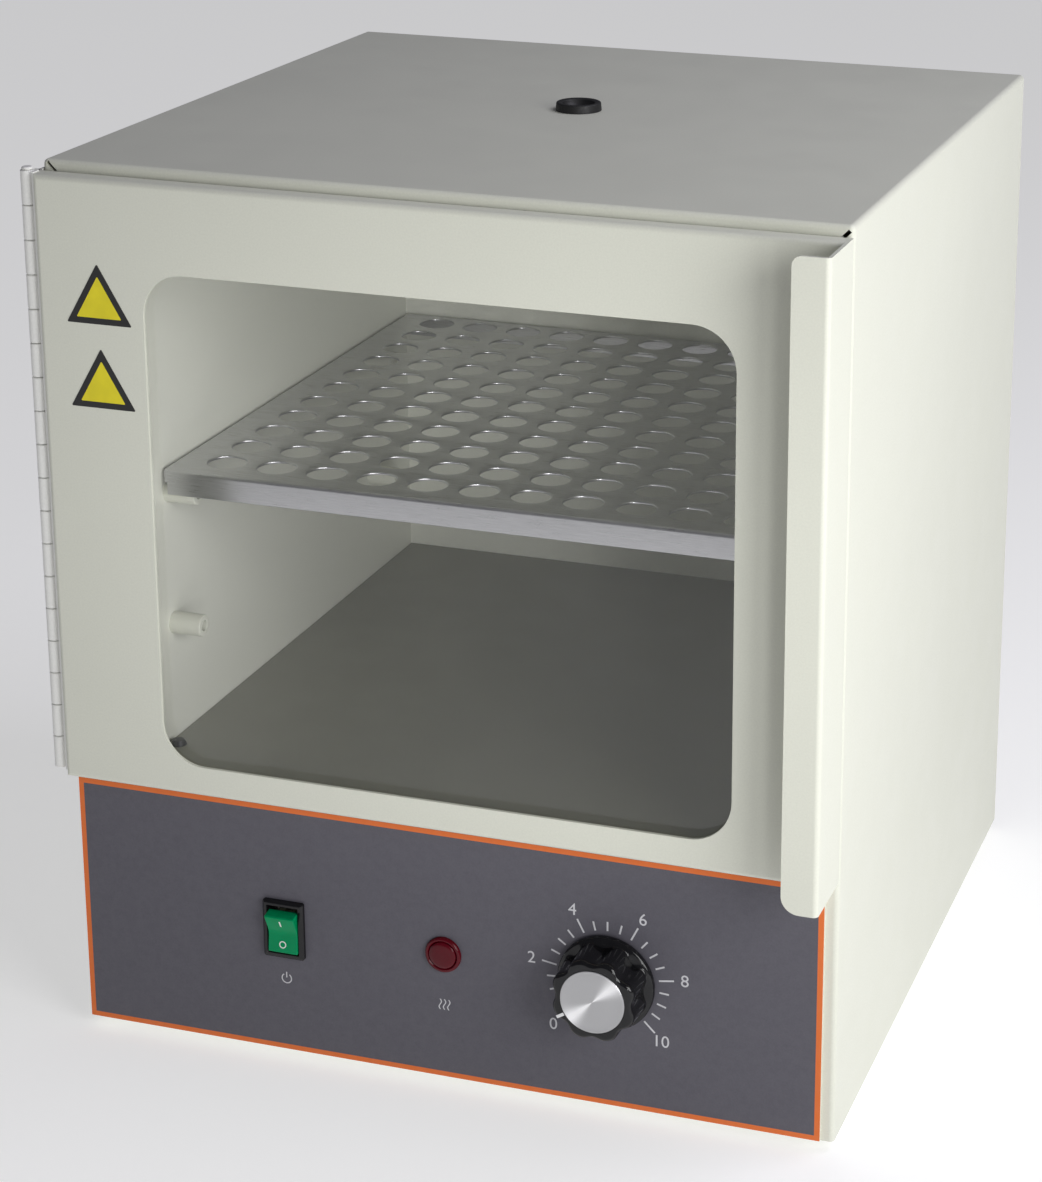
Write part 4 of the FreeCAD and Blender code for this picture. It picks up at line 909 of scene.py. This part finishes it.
class INCUBATOR_OT_hinge(bpy.types.Operator):
    """Make the piano hinge: rolled knuckles with rounded ends on two bent leaves, and the pin"""

    bl_idname = "incubator.hinge"
    bl_label = "Piano hinge"

    def execute(self, context):
        pin_low, pin_high = corners("hinge_pin")
        axis_x, axis_y = (pin_low[:2] + pin_high[:2]) / 2
        case_low, case_high = corners("hinge_case_leaf")
        door_low = corners("hinge_door_leaf")[0]
        count = 18
        gap = 0.3 * MM
        sheet = 0.8 * MM
        outer = 2.39 * MM
        bore = 1.26 * MM
        edge = 0.22 * MM
        long = case_high[2] - case_low[2] + gap
        pitch = long / count
        # The hinge's paler colour is partly painted sheen.
        cream = powder_coat("hinge_coat_and_painted_sheen", HINGE_CREAM_AND_PAINTED_SHEEN)
        shapes = {"cabinet": [], "door": []}
        for number in range(count):
            low = case_low[2] + number * pitch
            high = low + pitch - gap
            ring = [(bore, low), (outer - edge, low), (outer, low + edge), (outer, high - edge),
                    (outer - edge, high), (bore, high), (bore, low)]
            body = "door" if number % 2 == 0 else "cabinet"
            shapes[body].append(aimed(lathe(ring, 40), "z", (axis_x, axis_y, 0)))
            near = axis_y - sheet / 2 if body == "door" else axis_y + outer - sheet
            start = axis_x + 2 * sheet
            bridge = rectangle(case_high[0] - start, sheet, ((case_high[0] + start) / 2, near + sheet / 2))
            shapes[body].append(prism(bridge, low, high))
        for body, near, far in (("cabinet", axis_y + outer - sheet, case_high[1]),
                                ("door", door_low[1] + 1.2 * MM, axis_y + 1 * MM)):
            plate = rectangle(sheet, far - near, (case_high[0] - sheet / 2, (near + far) / 2))
            leaf = prism(rounded_outline(plate, 0.15 * MM, 3), case_low[2], case_low[2] + long - gap)
            shapes[body].append(leaf)
        make_piece("hinge_leaf_case", together(shapes["cabinet"]), "cabinet", "cream_paint",
                   ["hinge_case_leaf"], cream)
        make_piece("hinge_leaf_door", together(shapes["door"]), "door", "cream_paint", ["hinge_door_leaf"],
                   cream)
        top = pin_high[2] - 0.8 * MM
        pin = [(0, pin_low[2]), (1.0 * MM, pin_low[2]), (1.2 * MM, pin_low[2] + 0.3 * MM), (1.2 * MM, top),
               (1.9 * MM, top), (1.9 * MM, top + 0.45 * MM), (1.5 * MM, top + 0.8 * MM), (0, top + 0.8 * MM)]
        make_piece("hinge_pin_turned", aimed(lathe(pin, 32), "z", (axis_x, axis_y, 0)), "cabinet",
                   "cream_paint", ["hinge_pin"], cream)
        return {"FINISHED"}


class INCUBATOR_OT_seal(bpy.types.Operator):
    """Make the door seal: a bulb section carried round a rounded rectangle"""

    bl_idname = "incubator.seal"
    bl_label = "Door seal"

    def execute(self, context):
        low, high = corners("door_gasket")
        centre = (low + high) / 2
        wide, deep, tall = high - low
        crown = deep / MM
        section = [(0, 0), (5.6, 0), (5.6, 1.2), (4.4, 1.8), (4.9, 3.2), (4.9, crown - 1.2),
                   (4.0, crown - 0.2), (2.8, crown), (1.6, crown - 0.2), (0.7, crown - 1.2),
                   (0.7, 3.2), (1.2, 1.8), (0, 1.2)]
        section = rounded_outline(np.array(section) * MM, 0.25 * MM, 2)
        loops = []
        for inset, lift in section:
            radius = 8 * MM - inset
            loop = rounded_outline(rectangle(wide - 2 * inset, tall - 2 * inset), radius, 8)
            loops.append(np.c_[loop, np.full(len(loop), lift)])
        loops.append(loops[0])
        points = np.concatenate(loops)
        shape = aimed((points, grid_faces(len(loops), len(loops[0]))), "back", (centre[0], low[1], centre[2]))
        make_piece("seal_bulb", shape, "door", "silicone", ["door_gasket"], crease=50)
        return {"FINISHED"}


class INCUBATOR_OT_pane(bpy.types.Operator):
    """Make the window pane: a clear sheet with softened edges, set a hair clear of the door sheet"""

    bl_idname = "incubator.pane"
    bl_label = "Window pane"

    def execute(self, context):
        low, high = corners("window_pane")
        centre = (low + high) / 2
        clear = 0.04 * MM
        outline = rounded_outline(rectangle(high[0] - low[0], high[2] - low[2]), 1 * MM, 6)
        thick = high[1] - low[1] - 2 * clear
        shape = aimed(prism(outline, 0, thick), "back", (centre[0], low[1] + clear, centre[2]))
        make_piece("pane_sheet", shape, "door", "clear_acrylic", ["window_pane"], bevel=0.2 * MM)
        return {"FINISHED"}


class INCUBATOR_OT_feet(bpy.types.Operator):
    """Make the moulded feet with a rounded tread and a sunk screw hole"""

    bl_idname = "incubator.feet"
    bl_label = "Feet"

    def execute(self, context):
        low, high = corners("feet")
        reach = 9 * MM
        profile = np.array([(4.4, 0), (7.2, 0), (7.8, 0.25), (8.1, 0.8), (9, 4), (2.2, 4), (2.2, 2), (4.4, 2),
                            (4.4, 0)]) * MM
        shapes = [aimed(lathe(profile, 64), "z", (x, y, 0))
                  for x in (low[0] + reach, high[0] - reach) for y in (low[1] + reach, high[1] - reach)]
        make_piece("foot_set", together(shapes), "cabinet", "black_rubber", ["feet"])
        return {"FINISHED"}


def hang_lamp(kind, name, place, target, power, **settings):
    """Hang a lamp at a place so that it shines towards a target."""
    lamp = bpy.data.lights.new(name, kind)
    lamp.energy = power
    for setting, value in settings.items():
        setattr(lamp, setting, value)
    holder = bpy.data.objects.new(name, lamp)
    aim = Vector(target) - Vector(place)
    holder.matrix_world = Matrix.Translation(place) @ aim.to_track_quat("-Z", "Y").to_matrix().to_4x4()
    bpy.context.scene.collection.objects.link(holder)


class INCUBATOR_OT_stage(bpy.types.Operator):
    """Set the pale floor, the soft lights and the camera"""

    bl_idname = "incubator.stage"
    bl_label = "Stage"

    def execute(self, context):
        self.make_floor()
        self.make_world()
        light = context.scene.incubator_light
        hang_lamp("AREA", "right_light", (0.75, -0.56, 0.42), (0, 0, 0.18), light.key, size=0.5)
        hang_lamp("AREA", "top_light", (0.6, 0.1, 1.05), (0, 0, 0.3), light.fill, size=0.6, color=light.tint)
        hang_lamp("SPOT", "chamber_light", (0.46, -0.86, 0.26), (-0.05, 0.02, 0.19), light.beam,
                  spot_size=radians(15), spot_blend=0.7, shadow_soft_size=0.12)
        self.make_camera()
        context.scene.view_settings.view_transform = "Standard"
        return {"FINISHED"}

    @staticmethod
    def make_floor():
        """A wide flat sheet just under the feet, nearly white, with a faint mottle."""
        mesh = bpy.data.meshes.new("floor")
        mesh.from_pydata([(-6, -6, 0), (6, -6, 0), (6, 6, 0), (-6, 6, 0)], [], [(0, 1, 2, 3)])
        floor = bpy.data.objects.new("floor", mesh)
        bpy.context.scene.collection.objects.link(floor)
        finish = Finish("pale_floor", Roughness=0.9, Emission_Color=(1, 1, 1, 1), Emission_Strength=0.5)
        finish.colour(finish.blend(finish.noise(3.0, 2.0), (0.6, 0.6, 0.6), (0.64, 0.64, 0.64)))
        mesh.materials.append(finish.material)

    @staticmethod
    def make_world():
        """Even pale surroundings."""
        light = bpy.context.scene.incubator_light
        world = bpy.data.worlds.new("surroundings")
        world.use_nodes = True
        back = [node for node in world.node_tree.nodes if node.type == "BACKGROUND"][0]
        back.inputs["Color"].default_value = (*light.tint, 1)
        back.inputs["Strength"].default_value = light.sky
        bpy.context.scene.world = world

    @staticmethod
    def make_camera():
        """Camera to the right of the door and above it, turned and tipped towards the case."""
        camera = bpy.data.cameras.new("camera")
        camera.sensor_width = 36.0
        camera.lens = 86.7
        camera.shift_x = -0.184
        camera.shift_y = -0.216
        holder = bpy.data.objects.new("camera", camera)
        turn = Matrix.Rotation(radians(16.68), 4, "Z")
        tip = Matrix.Rotation(pi / 2 - radians(16), 4, "X")
        roll = Matrix.Rotation(radians(0.69), 4, "Z")
        facing = turn @ tip @ roll
        holder.matrix_world = Matrix.Translation((0.3527, -0.9406, 0.5296)) @ facing
        bpy.context.scene.collection.objects.link(holder)
        bpy.context.scene.camera = holder


class INCUBATOR_PT_panel(bpy.types.Panel):
    """List of the incubator's making steps"""

    bl_idname = "INCUBATOR_PT_panel"
    bl_label = "Incubator"
    bl_space_type = "VIEW_3D"
    bl_region_type = "UI"
    bl_category = "Incubator"

    def draw(self, context):
        for step in STEPS:
            self.layout.operator(step.bl_idname)
        for group in (context.scene.incubator_sizes, context.scene.incubator_light):
            for name in group.__annotations__:
                self.layout.prop(group, name)


STEPS = (INCUBATOR_OT_finishes, INCUBATOR_OT_film, INCUBATOR_OT_knob, INCUBATOR_OT_lamp,
         INCUBATOR_OT_switch, INCUBATOR_OT_stickers, INCUBATOR_OT_grommet, INCUBATOR_OT_shelf,
         INCUBATOR_OT_pegs, INCUBATOR_OT_hinge, INCUBATOR_OT_seal, INCUBATOR_OT_pane,
         INCUBATOR_OT_feet, INCUBATOR_OT_stage)
CLASSES = (IncubatorSizes, IncubatorLight, *STEPS, INCUBATOR_PT_panel)


def register():
    for item in CLASSES:
        bpy.utils.register_class(item)
    bpy.types.Scene.incubator_sizes = PointerProperty(type=IncubatorSizes)
    bpy.types.Scene.incubator_light = PointerProperty(type=IncubatorLight)


def unregister():
    del bpy.types.Scene.incubator_light
    del bpy.types.Scene.incubator_sizes
    for item in reversed(CLASSES):
        bpy.utils.unregister_class(item)


def main():
    """Run every step in order."""
    register()
    for step in STEPS:
        group, name = step.bl_idname.split(".")
        if getattr(getattr(bpy.ops, group), name)() != {"FINISHED"}:
            raise RuntimeError(f"{step.bl_label} did not finish")


if __name__ == "__main__":
    main()
